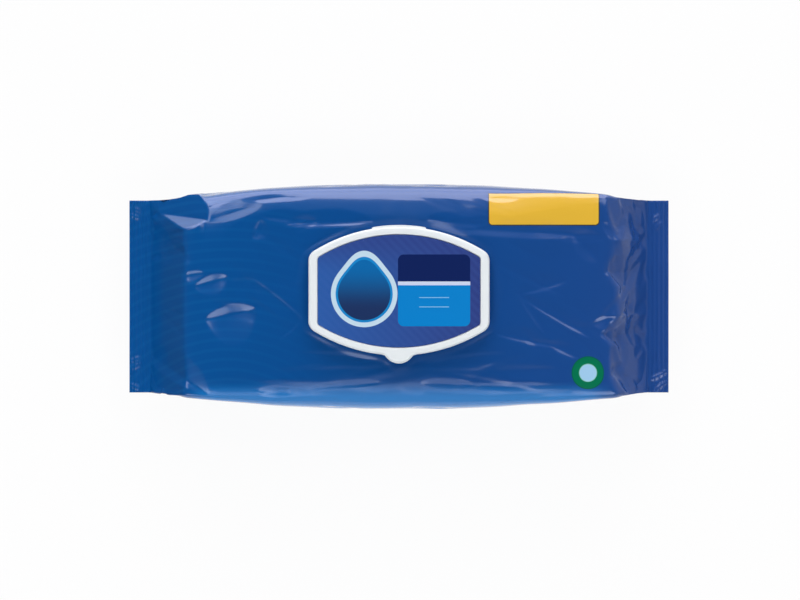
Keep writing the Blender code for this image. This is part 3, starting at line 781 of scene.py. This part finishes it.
def roundedBlock(name, low, high, width):
    shaped = bmesh.new()
    bmesh.ops.create_cube(shaped, size=1.0)
    for vert in shaped.verts:
        vert.co = [(a + b) / 2 + c * (b - a) for a, b, c in zip(low, high, vert.co)]
    bmesh.ops.bevel(shaped, geom=shaped.edges[:], offset=width, segments=3, profile=0.5, affect="EDGES")
    mesh = bpy.data.meshes.new(name)
    shaped.to_mesh(mesh)
    shaped.free()
    mesh.shade_smooth()
    mesh.set_sharp_from_angle(angle=math.radians(60))
    return addObject(name, mesh)


def hingeBlock(name, low, high):
    # the living hinge's bead, standing out behind the arc of the lid and the frame
    half = lid["hingeLength"] / 2
    radius = outlines["lid"]["arcRadius"]
    arcY = lidCentreY + outlines["lid"]["width"] / 2 - radius
    rounding = lid["hingeRound"]
    sections = []
    for i in range(41):
        x = -half + 2 * half * i / 40
        edge = math.sqrt(radius ** 2 - x ** 2) + arcY
        pull = rounding * (1 - math.sqrt(max(1 - max((abs(x) - half + rounding) / rounding, 0) ** 2, 0)))
        centreY, front = edge + lid["hingeBulge"] - pull - rounding, edge - lid["hingeRoot"]
        section = [(x, front, low)]
        for centreZ, first in ((low + rounding, -math.pi / 2), (high - rounding, 0.0)):
            quarter = arc(first, first + math.pi / 2, 4)
            section += [(x, centreY + rounding * c, centreZ + rounding * s) for c, s in quarter]
        section.append((x, front, high))
        sections.append(section)
    return loftRings(name, sections)


def buildFrameFittings():
    # ribs on the deck beside the rim, the front catch and the hinge bead
    deck = frameLow[2] + lid["deck"]
    sunk = deck - 0.2 * mm
    top = frameWallTop
    pieces = [hingeBlock("frame_hinge_bead", top - lid["hingeStrap"], top - lid["hingeMargin"])]
    front = lidCentreY - outlines["lid"]["width"] / 2 + lid["wall"] + lid["catchGap"]
    half = lid["catchHalfLength"]
    pieces.append(roundedBlock(
        "front_catch", (-half, front, sunk), (half, front + lid["catchDepth"], frameHigh[2]), 0.3 * mm))
    inner = outlines["slot"]["length"] / 2 + lid["rimWall"] / 2
    outer = outlines["lid"]["length"] / 2 - lid["wall"] / 2
    halfRib, ribTop = lid["ribWidth"] / 2, deck + lid["ribHeight"]
    for side in (-1, 1):
        left, right = sorted((side * inner, side * outer))
        for row in (-1, 0, 1):
            y = lidCentreY + row * lid["ribSpacing"]
            pieces.append(roundedBlock(
                "deck_rib", (left, y - halfRib, sunk), (right, y + halfRib, ribTop), 0.2 * mm))
    return pieces


def buildLabel():
    # rings across its face keep the long faces even
    low, high = labelLow[2] - 0.28 * mm, labelHigh[2]
    gap = 0.25 * mm
    rows = [(gap, low), (gap, high - 0.08 * mm), (gap + 0.03 * mm, high - 0.02 * mm)]
    rows += [(gap + inset * mm, high) for inset in (0.12, 1.5, 4, 8, 12, 16, 20)]
    return loftRings("lid_label_print", [barrelRing("recess", *row) for row in rows])


def softBlockRing(halfX, halfY, corner, z):
    # a rounded rectangle, its corners as arcs
    ring = []
    for turn, sx, sy in ((0, 1, 1), (1, -1, 1), (2, -1, -1), (3, 1, -1)):
        middleX, middleY = sx * (halfX - corner), sy * (halfY - corner)
        quarter = arc(turn * math.pi / 2, (turn + 1) * math.pi / 2, 6)
        ring += [(middleX + corner * c, middleY + corner * s, z) for c, s in quarter]
    return ring


def buildStack():
    # folded wipes on each other: each layer bulges, and the film has pressed the upper edges round
    low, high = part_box("wipes_stack")
    step = (high[2] - low[2]) / wipes["count"]
    edge = wipes["edgeRound"]
    rings = []
    for i in range(wipes["count"]):
        for share, inset in ((0.0, wipes["foldDepth"]), (0.3, 0.0), (0.7, 0.0), (1.0, wipes["foldDepth"])):
            z = low[2] + (i + share) * step
            over = max(z - (high[2] - edge), 0.0)
            pressed = edge - math.sqrt(max(edge ** 2 - over ** 2, 0.0))
            pressed = min(pressed, edge * wipes["mostPressed"]) + inset
            ring = softBlockRing(high[0] - pressed, high[1] - pressed, wipes["cornerRound"], z)
            below = foldedCorner["wipesBelow"]
            rings.append([(px, py, min(pz, cornerHeight(px, py) - below)) for px, py, pz in ring])
    return loftRings("wipes_pile", rings)


topWipe = {
    "layer": 0.42 * mm,
    "gap": 0.12 * mm,
    "thickness": 0.25 * mm,
    "alongSteps": 150,
    "acrossSteps": 70,
    "foldAt": 0.49,
    "foldReach": 0.2 * mm,
    "edgeGap": 0.3 * mm,
    "sideGap": 0.4 * mm,
    "waves": 7,
    "shortest": 14 * mm,
    "longest": 40 * mm,
    "unevenness": 0.09 * mm,
    "deepest": 0.15 * mm,
    "underSlot": 0.25 * mm,
    "pinchHalfLength": 17 * mm,
    "pinchHalfWidth": 4.5 * mm,
    "pinchHeight": 1.05 * mm,
    "mostDroop": 4 * mm,
}


def buildTopWipe():
    # one wipe folded once, lying on the stack, its middle pinched up under the slot
    low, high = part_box("top_wipe")
    rng = np.random.default_rng(seed + 1)
    xs = np.linspace(low[0] + topWipe["edgeGap"], high[0] - topWipe["edgeGap"], topWipe["alongSteps"])
    halfWidth = (high[1] - low[1]) / 2 - topWipe["sideGap"]
    t, foldAt = np.linspace(0, 1, topWipe["acrossSteps"]), topWipe["foldAt"]
    level = np.where(t < foldAt, 0.0, np.where(t > 1 - foldAt, 1.0, 0.5))
    across = halfWidth * (1 - 2 * np.minimum(t, 1 - t) / foldAt)
    x, y = np.meshgrid(xs, np.where(level == 0.5, -halfWidth - topWipe["foldReach"], across), indexing="ij")
    pinch = np.exp(-(x / topWipe["pinchHalfLength"]) ** 2)
    pinch = pinch * np.exp(-((y - lidCentreY) / topWipe["pinchHalfWidth"]) ** 2)
    slow = waves(x, y, rng, topWipe["waves"], topWipe["shortest"], topWipe["longest"]) * topWipe["unevenness"]
    slow = np.maximum(slow, -topWipe["deepest"])
    base = low[2] + 0.2 * mm
    z = base + level * (topWipe["layer"] + topWipe["gap"]) + slow + pinch * topWipe["pinchHeight"]
    z = np.minimum(z, high[2] - topWipe["underSlot"])
    z -= np.minimum(droopOfWipes(x, y)[0], topWipe["mostDroop"])
    z -= np.maximum(low[2] + foldedCorner["wipesBelow"] - cornerHeight(x, y), 0)
    points = np.stack([x, y, z], -1).reshape(-1, 3).tolist()
    made = meshObject("top_wipe_sheet", points, gridFaces(*x.shape).tolist())
    thick = made.modifiers.new("wipe thickness", "SOLIDIFY")
    thick.thickness = topWipe["thickness"]
    thick.offset = 0.0
    return made


# Materials and prints

inks = {
    "left": "00549A",
    "middle": "0A4B8F",
    "right": "1F4A90",
    # painted light: the lighter blue along the front edge stands for the light the front slope catches, and
    # it fades out at the ends
    "low": "1A80CC",
    "paintedLightFrom": (-37 * mm, -46 * mm),
    "paintedLightEnds": (82 * mm, 96 * mm),
    "arc": "0A5CA0",
    "arcPitch": 4.4 * mm,
    "arcCentrePx": (230, 480),
    "arcShare": 0.55,
    "arcFade": (-95 * mm, -25 * mm),
    "crinkle": 3.2 * mm,
    "slowCrinkle": 13 * mm,
}
flag = {
    "leftPx": 487.3,
    "rightPx": 598.0,
    "bottomPx": 226.4,
    "top": 46.7 * mm,
    "fill": "EDBD3C",
    "edge": "3A3B30",
    "corner": 2.0 * mm,
    "outline": 0.5 * mm,
}
badge = {
    "centrePx": (586.4, 372.2),
    "radius": 7.3 * mm,
    "rimWidth": 0.35 * mm,
    "discRadius": 3.7 * mm,
    "discRimWidth": 0.3 * mm,
    "ring": "00774F",
    "rim": "0A5A48",
    "discRim": "8FD3CB",
    "disc": "A7D4F3",
}
labelPrint = {
    "left": "2C5DA8",
    "right": "2F4083",
    "top": "2F4186",
    "topFrom": 6 * mm,
    "topWhole": 24 * mm,
    "topShare": 0.75,
    "stripe": "466CB6",
    "stripePitch": 2.8 * mm,
    "stripeShare": 0.1,
    "navy": "061F5A",
    "cyan": "0083CE",
    "bar": "D3DCF2",
    "rule": "8CC9EC",
    "panelPx": ((398.0, 255.0), (469.4, 326.0)),
    "panelCorner": 2.6 * mm,
    "barTopPx": 281.7,
    "barLowPx": 285.4,
    "rulePx": (297.6, 306.8),
    "ruleEndsPx": (419.0, 448.5),
    "ruleHalfWidth": 0.16 * mm,
    "ruleCorner": 0.05 * mm,
    "ruleSoft": 0.12 * mm,
}
drop = {
    "centrePx": (364.6, 294.0),
    "radius": 14.6 * mm,
    "tipReach": 0.3,
    "tipSharpness": 9.0,
    "edge": "C7E0EE",
    "rim": "1487CB",
    "rimShare": 0.86,
    "dark": "1A3260",
    "light": "0369AC",
    "middleShare": 0.79,
}
softEdge = 0.09 * mm


def paint(add, under, mask, over):
    return add("Mix", (mask, under, over), data_type="RGBA")


def within(add, distance, limit, soft=softEdge):
    # 1 where distance is under limit, with a soft printed edge
    return add("MapRange", (distance, limit - soft, limit + soft, 1.0, 0.0), **smooth)


def ripple(add, distance, pitch):
    # a wave between -1 and 1
    turns = add("Math", (distance, 2 * math.pi / pitch), "MULTIPLY")
    return add("Math", (turns,), "SINE")


def grainBump(add, place, size, strength):
    # the fine unevenness of a moulded or printed face
    grain = add("TexNoise", {"Vector": place, "Scale": 1 / size, "Detail": 2.0})
    return add("Bump", {"Strength": strength, "Distance": 0.02 * mm, "Height": grain})


def roundedBoxDistance(add, place, low, high, corner):
    # signed distance to a rounded rectangle between two corners, minus inside
    centre = ((low[0] + high[0]) / 2, (low[1] + high[1]) / 2, 0.0)
    inner = ((high[0] - low[0]) / 2 - corner, (high[1] - low[1]) / 2 - corner, 0.0)
    moved = add("VectorMath", (place, centre), "SUBTRACT")
    folded = add("VectorMath", (moved,), "ABSOLUTE")
    over = add("VectorMath", (folded, inner), "SUBTRACT")
    split = add("SeparateXYZ", (over,))
    overX, overY = split.outputs["X"], split.outputs["Y"]
    plane = add("CombineXYZ", (overX, overY, 0.0))
    held = add("VectorMath", (plane, (0.0, 0.0, 0.0)), "MAXIMUM")
    outside = add("VectorMath", (held,), "LENGTH")
    longest = add("Math", (overX, overY), "MAXIMUM")
    inside = add("Math", (longest, 0.0), "MINIMUM")
    both = add("Math", (outside, inside), "ADD")
    return add("Math", (both, corner), "SUBTRACT")


def filmMaterial():
    # Printed laminate: ink on the back of clear PET, so the colour is deep and the face is glossy; the
    # lighter blue along the front edge is painted light.
    # Heat at the seals and slack between them leave fine crinkles that break up the reflections.
    material, add, shader = newMaterial("reverse_printed_laminate_film")
    flat = add("Attribute", attribute_name="film_flat").outputs["Vector"]
    base = addBadge(add, addFlag(add, filmBlue(add, flat), flat), flat)
    fine = add("TexNoise", {
        "Vector": flat, "Scale": 1 / inks["crinkle"], "Detail": 3.0, "Roughness": 0.55, "Distortion": 0.6})
    slow = add("TexNoise", {"Vector": flat, "Scale": 1 / inks["slowCrinkle"], "Detail": 2.0})
    crinkles = add("Math", (fine, 0.35, slow), "MULTIPLY_ADD")
    bump = add("Bump", {"Strength": 0.3, "Distance": 0.1 * mm, "Height": crinkles})
    setInputs(shader, {
        "Base Color": base, "Roughness": 0.22, "IOR": 1.6, "Specular Tint": "D2DCFC",
        "Coat Weight": 0.6, "Coat Roughness": 0.08, "Normal": bump, "Coat Normal": bump})
    return material


def filmBlue(add, flat):
    # deep blue, redder to the right, with painted light along the front edge (a lighter blue where the front
    # slope is lit), and a faint ripple of arcs on the left
    parts = add("SeparateXYZ", (flat,))
    alongX, acrossY = parts.outputs["X"], parts.outputs["Y"]
    along = add("MapRange", (alongX, -packHalfLength, packHalfLength))
    ramp = add("ValToRGB", (along,))
    ramp.color_ramp.elements.new(0.5)
    for element, name in zip(ramp.color_ramp.elements, ("left", "middle", "right")):
        element.color = (*linear(inks[name]), 1.0)
    centre = (*fromPx(*inks["arcCentrePx"]), 0.0)
    away = add("VectorMath", (flat, centre), "DISTANCE")
    wave = ripple(add, away, inks["arcPitch"])
    where = add("MapRange", (alongX, *inks["arcFade"], inks["arcShare"], 0.0), **smooth)
    share = add("Math", (wave, where), "MULTIPLY", use_clamp=True)
    blue = paint(add, ramp, share, inks["arc"])
    # painted light: the front shoulder turns a lighter blue where its slope is lit
    lower = add("MapRange", (acrossY, *inks["paintedLightFrom"]), **smooth)
    out = add("Math", (alongX,), "ABSOLUTE")
    inside = add("MapRange", (out, *inks["paintedLightEnds"], 1.0, 0.0), **smooth)
    share = add("Math", (lower, inside), "MULTIPLY")
    return paint(add, blue, share, inks["low"])


def addFlag(add, under, flat):
    # the plain yellow flag at the pack's back edge, its upper corners past the cut, so that they are square
    left, low = fromPx(flag["leftPx"], flag["bottomPx"])
    right, _ = fromPx(flag["rightPx"], 0)
    hidden = 2 * flag["corner"]
    distance = roundedBoxDistance(add, flat, (left, low), (right, flag["top"] + hidden), flag["corner"])
    height = add("SeparateXYZ", (flat,)).outputs["Y"]
    above = add("Math", (height, flag["top"]), "SUBTRACT")
    cut = add("Math", (distance, above), "MAXIMUM")
    under = paint(add, under, within(add, cut, 0.0), flag["edge"])
    return paint(add, under, within(add, cut, -flag["outline"]), flag["fill"])


def addBadge(add, under, flat):
    # a green ring round a pale disc, both with a thin rim
    centre = (*fromPx(*badge["centrePx"]), 0.0)
    away = add("VectorMath", (flat, centre), "DISTANCE")
    for radius, ink in (
        (badge["radius"], "rim"),
        (badge["radius"] - badge["rimWidth"], "ring"),
        (badge["discRadius"] + badge["discRimWidth"], "discRim"),
        (badge["discRadius"], "disc"),
    ):
        under = paint(add, under, within(add, away, radius), badge[ink])
    return under


def whitePlastic():
    # Injection-moulded polypropylene: milky white, light spreads a little under its satin face.
    material, add, shader = newMaterial("moulded_white_polypropylene")
    place = add("TexCoord").outputs["Object"]
    cloud = add("TexNoise", {"Vector": place, "Scale": 1 / (9 * mm), "Detail": 2.0})
    tint = paint(add, "EBF1F1", cloud, "EFF4F4")
    setInputs(shader, {
        "Base Color": tint, "Roughness": 0.34, "IOR": 1.49, "Subsurface Weight": 0.12,
        "Subsurface Radius": (1.2 * mm, 1.2 * mm, 1.4 * mm), "Subsurface Scale": 1.0,
        "Normal": grainBump(add, place, 0.5 * mm, 0.25)})
    return material


def labelMaterial():
    # Printed polypropylene label: satin face, faint slanting stripes under the colour fields.
    material, add, shader = newMaterial("printed_satin_label")
    place = add("TexCoord").outputs["Object"]
    parts = add("SeparateXYZ", (place,))
    placeX, placeY = parts.outputs["X"], parts.outputs["Y"]
    flatPlace = add("CombineXYZ", (placeX, placeY, 0.0))
    half = outlines["recess"]["length"] / 2
    across = add("MapRange", (placeX, -half, half))
    side = paint(add, labelPrint["left"], across, labelPrint["right"])
    first, last = lidCentreY + labelPrint["topFrom"], lidCentreY + labelPrint["topWhole"]
    rise = add("MapRange", (placeY, first, last, 0.0, labelPrint["topShare"]), **smooth)
    base = paint(add, side, rise, labelPrint["top"])
    slant = add("VectorMath", (flatPlace, (0.707, 0.707, 0.0)), "DOT_PRODUCT")
    stripe = ripple(add, slant, labelPrint["stripePitch"])
    share = add("MapRange", (stripe, -1.0, 1.0, 0.0, labelPrint["stripeShare"]))
    shade = paint(add, base, share, labelPrint["stripe"])
    shade = addPanel(add, addDrop(add, shade, flatPlace), flatPlace, placeY)
    bump = grainBump(add, place, 0.9 * mm, 0.2)
    setInputs(shader, {"Base Color": shade, "Roughness": 0.27, "IOR": 1.45, "Normal": bump})
    return material


def addDrop(add, under, place):
    # a plain water drop: pale edge, bright rim, dark middle that is lighter above
    centre = (*fromPx(*drop["centrePx"]), 0.0)
    moved = add("VectorMath", (place, centre), "SUBTRACT")
    away = add("VectorMath", (moved,), "LENGTH")
    up = add("SeparateXYZ", (moved,)).outputs["Y"]
    upShare = add("Math", (up, away), "DIVIDE")
    held = add("Math", (upShare, 0.0), "MAXIMUM")
    tip = add("Math", (held, drop["tipSharpness"]), "POWER")
    grown = add("Math", (tip, drop["tipReach"], 1.0), "MULTIPLY_ADD")
    size = add("Math", (away, grown), "DIVIDE")
    radius = drop["radius"]
    under = paint(add, under, within(add, size, radius), drop["edge"])
    under = paint(add, under, within(add, size, radius * drop["rimShare"]), drop["rim"])
    glow = add("MapRange", (up, -radius * 0.5, radius * 0.9), **smooth)
    middle = paint(add, drop["dark"], glow, drop["light"])
    return paint(add, under, within(add, size, radius * drop["middleShare"]), middle)


def addPanel(add, under, place, placeY):
    # the two-colour panel with its pale bar and two thin rules
    (leftPx, topPx), (rightPx, lowPx) = labelPrint["panelPx"]
    low, high = fromPx(leftPx, lowPx), fromPx(rightPx, topPx)
    distance = roundedBoxDistance(add, place, low, high, labelPrint["panelCorner"])
    barTop, barLow = [fromPx(0, labelPrint[name])[1] for name in ("barTopPx", "barLowPx")]
    upper = add("MapRange", (placeY, barTop - softEdge, barTop + softEdge))
    belowBar = add("MapRange", (placeY, barLow - softEdge, barLow + softEdge, 1.0, 0.0))
    fill = paint(add, labelPrint["bar"], upper, labelPrint["navy"])
    fill = paint(add, fill, belowBar, labelPrint["cyan"])
    half = labelPrint["ruleHalfWidth"]
    for rulePx in labelPrint["rulePx"]:
        (left, y), (right, _) = [fromPx(endPx, rulePx) for endPx in labelPrint["ruleEndsPx"]]
        low, high = (left, y - half), (right, y + half)
        rule = roundedBoxDistance(add, place, low, high, labelPrint["ruleCorner"])
        fill = paint(add, fill, within(add, rule, 0.0, labelPrint["ruleSoft"]), labelPrint["rule"])
    return paint(add, under, within(add, distance, 0.0), fill)


def wipeMaterial():
    # Spunlaced non-woven, wet: soft white fibres pressed with a fine dimple pattern.
    material, add, shader = newMaterial("wet_spunlace_nonwoven")
    place = add("TexCoord").outputs["Object"]
    fibres = add("TexNoise", {
        "Vector": place, "Scale": 1 / (0.8 * mm), "Detail": 6.0, "Roughness": 0.7, "Distortion": 1.4})
    tint = paint(add, "DDE2E4", fibres, "F5F6F5")
    dimples = add("TexVoronoi", {
        "Vector": place, "Scale": 1 / (1.8 * mm), "Randomness": 0.25}, feature="F1")
    height = add("Math", (dimples, 1.2, fibres), "MULTIPLY_ADD")
    bump = add("Bump", {"Strength": 0.7, "Distance": 0.12 * mm, "Height": height})
    setInputs(shader, {"Base Color": tint, "Roughness": 0.55, "Sheen Weight": 0.15, "Normal": bump})
    return material


def floorMaterial():
    # matt white studio paper, lifted to white where it is seen or mirrored; it keeps a faint shadow
    material, add, shader = newMaterial("matt_white_paper")
    setInputs(shader, {"Base Color": "F4F4F4", "Roughness": 0.9})
    glow = add("Emission", {"Color": (1.0, 1.0, 1.0, 1.0), "Strength": 1.0})
    rays = add("LightPath").outputs
    seen = rays["Is Camera Ray"]
    for ray in ("Is Glossy Ray", "Is Transmission Ray"):
        seen = add("Math", (seen, rays[ray]), "MAXIMUM")
    lift = add("Math", (seen, studio["floorLift"]), "MULTIPLY")
    both = add("MixShader", (lift, shader, glow))
    setInputs(material.node_tree.nodes["Material Output"], {"Surface": both})
    return material


# Studio

studio = {
    "floorSize": 6.0,
    "floorDepth": 0.2 * mm,
    "floorLift": 0.94,
    "horizon": "CCCCCC",
    "horizonLevel": 0.5,
    "darkSideLevel": 0.3,
    "darkSideX": (-0.95, -0.5),
    "zenith": "6A7080",
    "zenithLevel": 0.05,
    "zenithFrom": 20,
    "zenithWhole": 68,
    # soft lights by direction in degrees: azimuth, half width, lowest, highest, soft edge above, level, tint
    "lights": [
        (92, 28, 3, 38, 3, 3.7, "FBF7FF"),
        (90, 40, 38, 54, 12, 0.1, "F3F0FF"),
        (-90, 50, 4, 58, 4, 0.32, "F2F8FF"),
        (52, 22, 40, 66, 5, 1.95, "FFFFFF"),
        (128, 22, 40, 66, 5, 2.3, "FFFFFF"),
        (-58, 22, 40, 66, 5, 2.1, "FFFFFF"),
        (-122, 22, 40, 66, 5, 2.4, "FFFFFF"),
        (-90, 60, 44, 64, 2, 0.55, "DCE8FF"),
    ],
    "softSide": 6,
    "softFoot": 3,
    # upright cards that only the pack's reflections show: x or y, half length, height, grey, glow.
    # They stand for the surroundings that the end walls and the far edge mirror.
    "leftCard": (-0.135, 0.08, 0.07, 0.01, 0.01),
    "rightCard": (0.150, 0.075, 0.06, 0.1, 0.3),
    "backStrip": (0.142, 0.15, 0.05, 0.8, 2.6),
}


def skyLight(add, elevation, level, total, light):
    # adds one soft-edged light to the sky
    azimuth, halfWidth, lowest, highest, softAbove = [math.radians(degrees) for degrees in light[:5]]
    strength, tint = light[5:]
    soft, foot = math.radians(studio["softSide"]), math.radians(studio["softFoot"])
    towards = (math.cos(azimuth), math.sin(azimuth), 0.0)
    facing = add("VectorMath", (level, towards), "DOT_PRODUCT")
    off = add("Math", (facing,), "ARCCOSINE")
    side = add("MapRange", (off, halfWidth - soft, halfWidth + soft, 1.0, 0.0), **smooth)
    rise = add("MapRange", (elevation, lowest - foot, lowest + foot), **smooth)
    fall = add("MapRange", (elevation, highest, highest + softAbove, 1.0, 0.0), **smooth)
    band = add("Math", (rise, fall), "MULTIPLY")
    share = add("Math", (band, side), "MULTIPLY")
    glow = tuple(c * strength for c in linear(tint))
    return add("VectorMath", (share, glow, total), "MULTIPLY_ADD")


def buildSky():
    # a dim zenith keeps the flat film deep blue; lights stand where the folds and edges catch them
    world = bpy.data.worlds.new("studio")
    bpy.context.scene.world = world
    world.use_nodes = True
    add = partial(addNode, world.node_tree)
    direction = add("TexCoord").outputs["Generated"]
    height = add("SeparateXYZ", (direction,)).outputs["Z"]
    elevation = add("Math", (height,), "ARCSINE")
    flat = add("VectorMath", (direction, (1.0, 1.0, 0.0)), "MULTIPLY")
    level = add("VectorMath", (flat,), "NORMALIZE")
    first, last = math.radians(studio["zenithFrom"]), math.radians(studio["zenithWhole"])
    up = add("MapRange", (elevation, first, last), **smooth)
    toRight = add("SeparateXYZ", (level,)).outputs["X"]
    side = add("MapRange", (toRight, *studio["darkSideX"]), **smooth)
    levels = (("darkSideLevel", "horizon"), ("horizonLevel", "horizon"), ("zenithLevel", "zenith"))
    low, lit, top = [
        (*[c * studio[strength] for c in linear(studio[tint])], 1.0) for strength, tint in levels
    ]
    total = paint(add, paint(add, low, side, lit), up, top)
    for light in studio["lights"]:
        total = skyLight(add, elevation, level, total, light)
    setInputs(world.node_tree.nodes["Background"], {"Color": total})


def stagePlane(name, corners, material):
    made = meshObject(name, corners, [(0, 1, 2, 3)])
    made.data.materials.append(material)
    return made


def cardMaterial(name, grey, glow):
    # matt card: black keeps the pack's left end deep, grey dims the right, a lit one fills the far edge
    material, add, shader = newMaterial(name)
    setInputs(shader, {
        "Base Color": (grey, grey, grey, 1.0), "Roughness": 0.9,
        "Emission Color": "F6F2FF", "Emission Strength": glow})
    return material


def standCard(name, sizes, acrossX):
    place, half, height, grey, glow = sizes
    base = -studio["floorDepth"]
    ends = [(-half, base), (half, base), (half, height), (-half, height)]
    corners = [(place, along, z) if acrossX else (along, place, z) for along, z in ends]
    card = stagePlane(name, corners, cardMaterial(name, grey, glow))
    card.visible_camera = False
    card.visible_diffuse = False
    card.visible_shadow = False


def buildStudio():
    buildSky()
    size, z = studio["floorSize"], -studio["floorDepth"]
    corners = [(sx * size, sy * size, z) for sx, sy in ((-1, -1), (1, -1), (1, 1), (-1, 1))]
    stagePlane("floor", corners, floorMaterial())
    standCard("black_card", studio["leftCard"], True)
    standCard("grey_card", studio["rightCard"], True)
    standCard("light_strip", studio["backStrip"], False)


def buildCamera():
    # straight above, at the height where the photo's scale holds for the pack's upper half
    data = bpy.data.cameras.new("camera")
    camera = addObject("camera", data)
    camera.location = (*fromPx(*view["imageCentrePx"]), view["cameraHeight"])
    data.sensor_width = view["sensor"]
    sceneWidth = view["imageWidthPx"] * view["mmPerPx"] * mm
    distance = view["cameraHeight"] - film["sealHeight"] * view["focusUp"]
    data.lens = view["sensor"] * distance / sceneWidth
    bpy.context.scene.camera = camera


buildCamera()
print("camera set")

filmFinish = filmMaterial()
wrapper = buildFilm()
giveTo(wrapper, filmFinish, "pack")
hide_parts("wrapper")
print("film built", len(wrapper.data.polygons))

white = whitePlastic()
cover = buildLidCover()
giveTo(cover, white, "lid")
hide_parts("lid")
ring = buildSealingRing()
giveTo(ring, white, "lid")
strap = hingeBlock("lid_hinge_strap", skirtBottom + lid["hingeMargin"], skirtBottom + lid["hingeStrap"])
giveTo(strap, white, "lid")
tray = buildFrameTray()
giveTo(tray, white, "pack")
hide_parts("lid_frame")
for fitting in buildFrameFittings():
    giveTo(fitting, white, "pack")
print("lid built")

label = buildLabel()
giveTo(label, labelMaterial(), "lid")
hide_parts("lid_label")

wipeFinish = wipeMaterial()
sheet = buildTopWipe()
giveTo(sheet, wipeFinish, "pack")
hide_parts("top_wipe")
pile = buildStack()
giveTo(pile, wipeFinish, "pack")
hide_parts("wipes_stack")
print("wipes built")

buildStudio()
bpy.context.scene.view_settings.view_transform = "Standard"
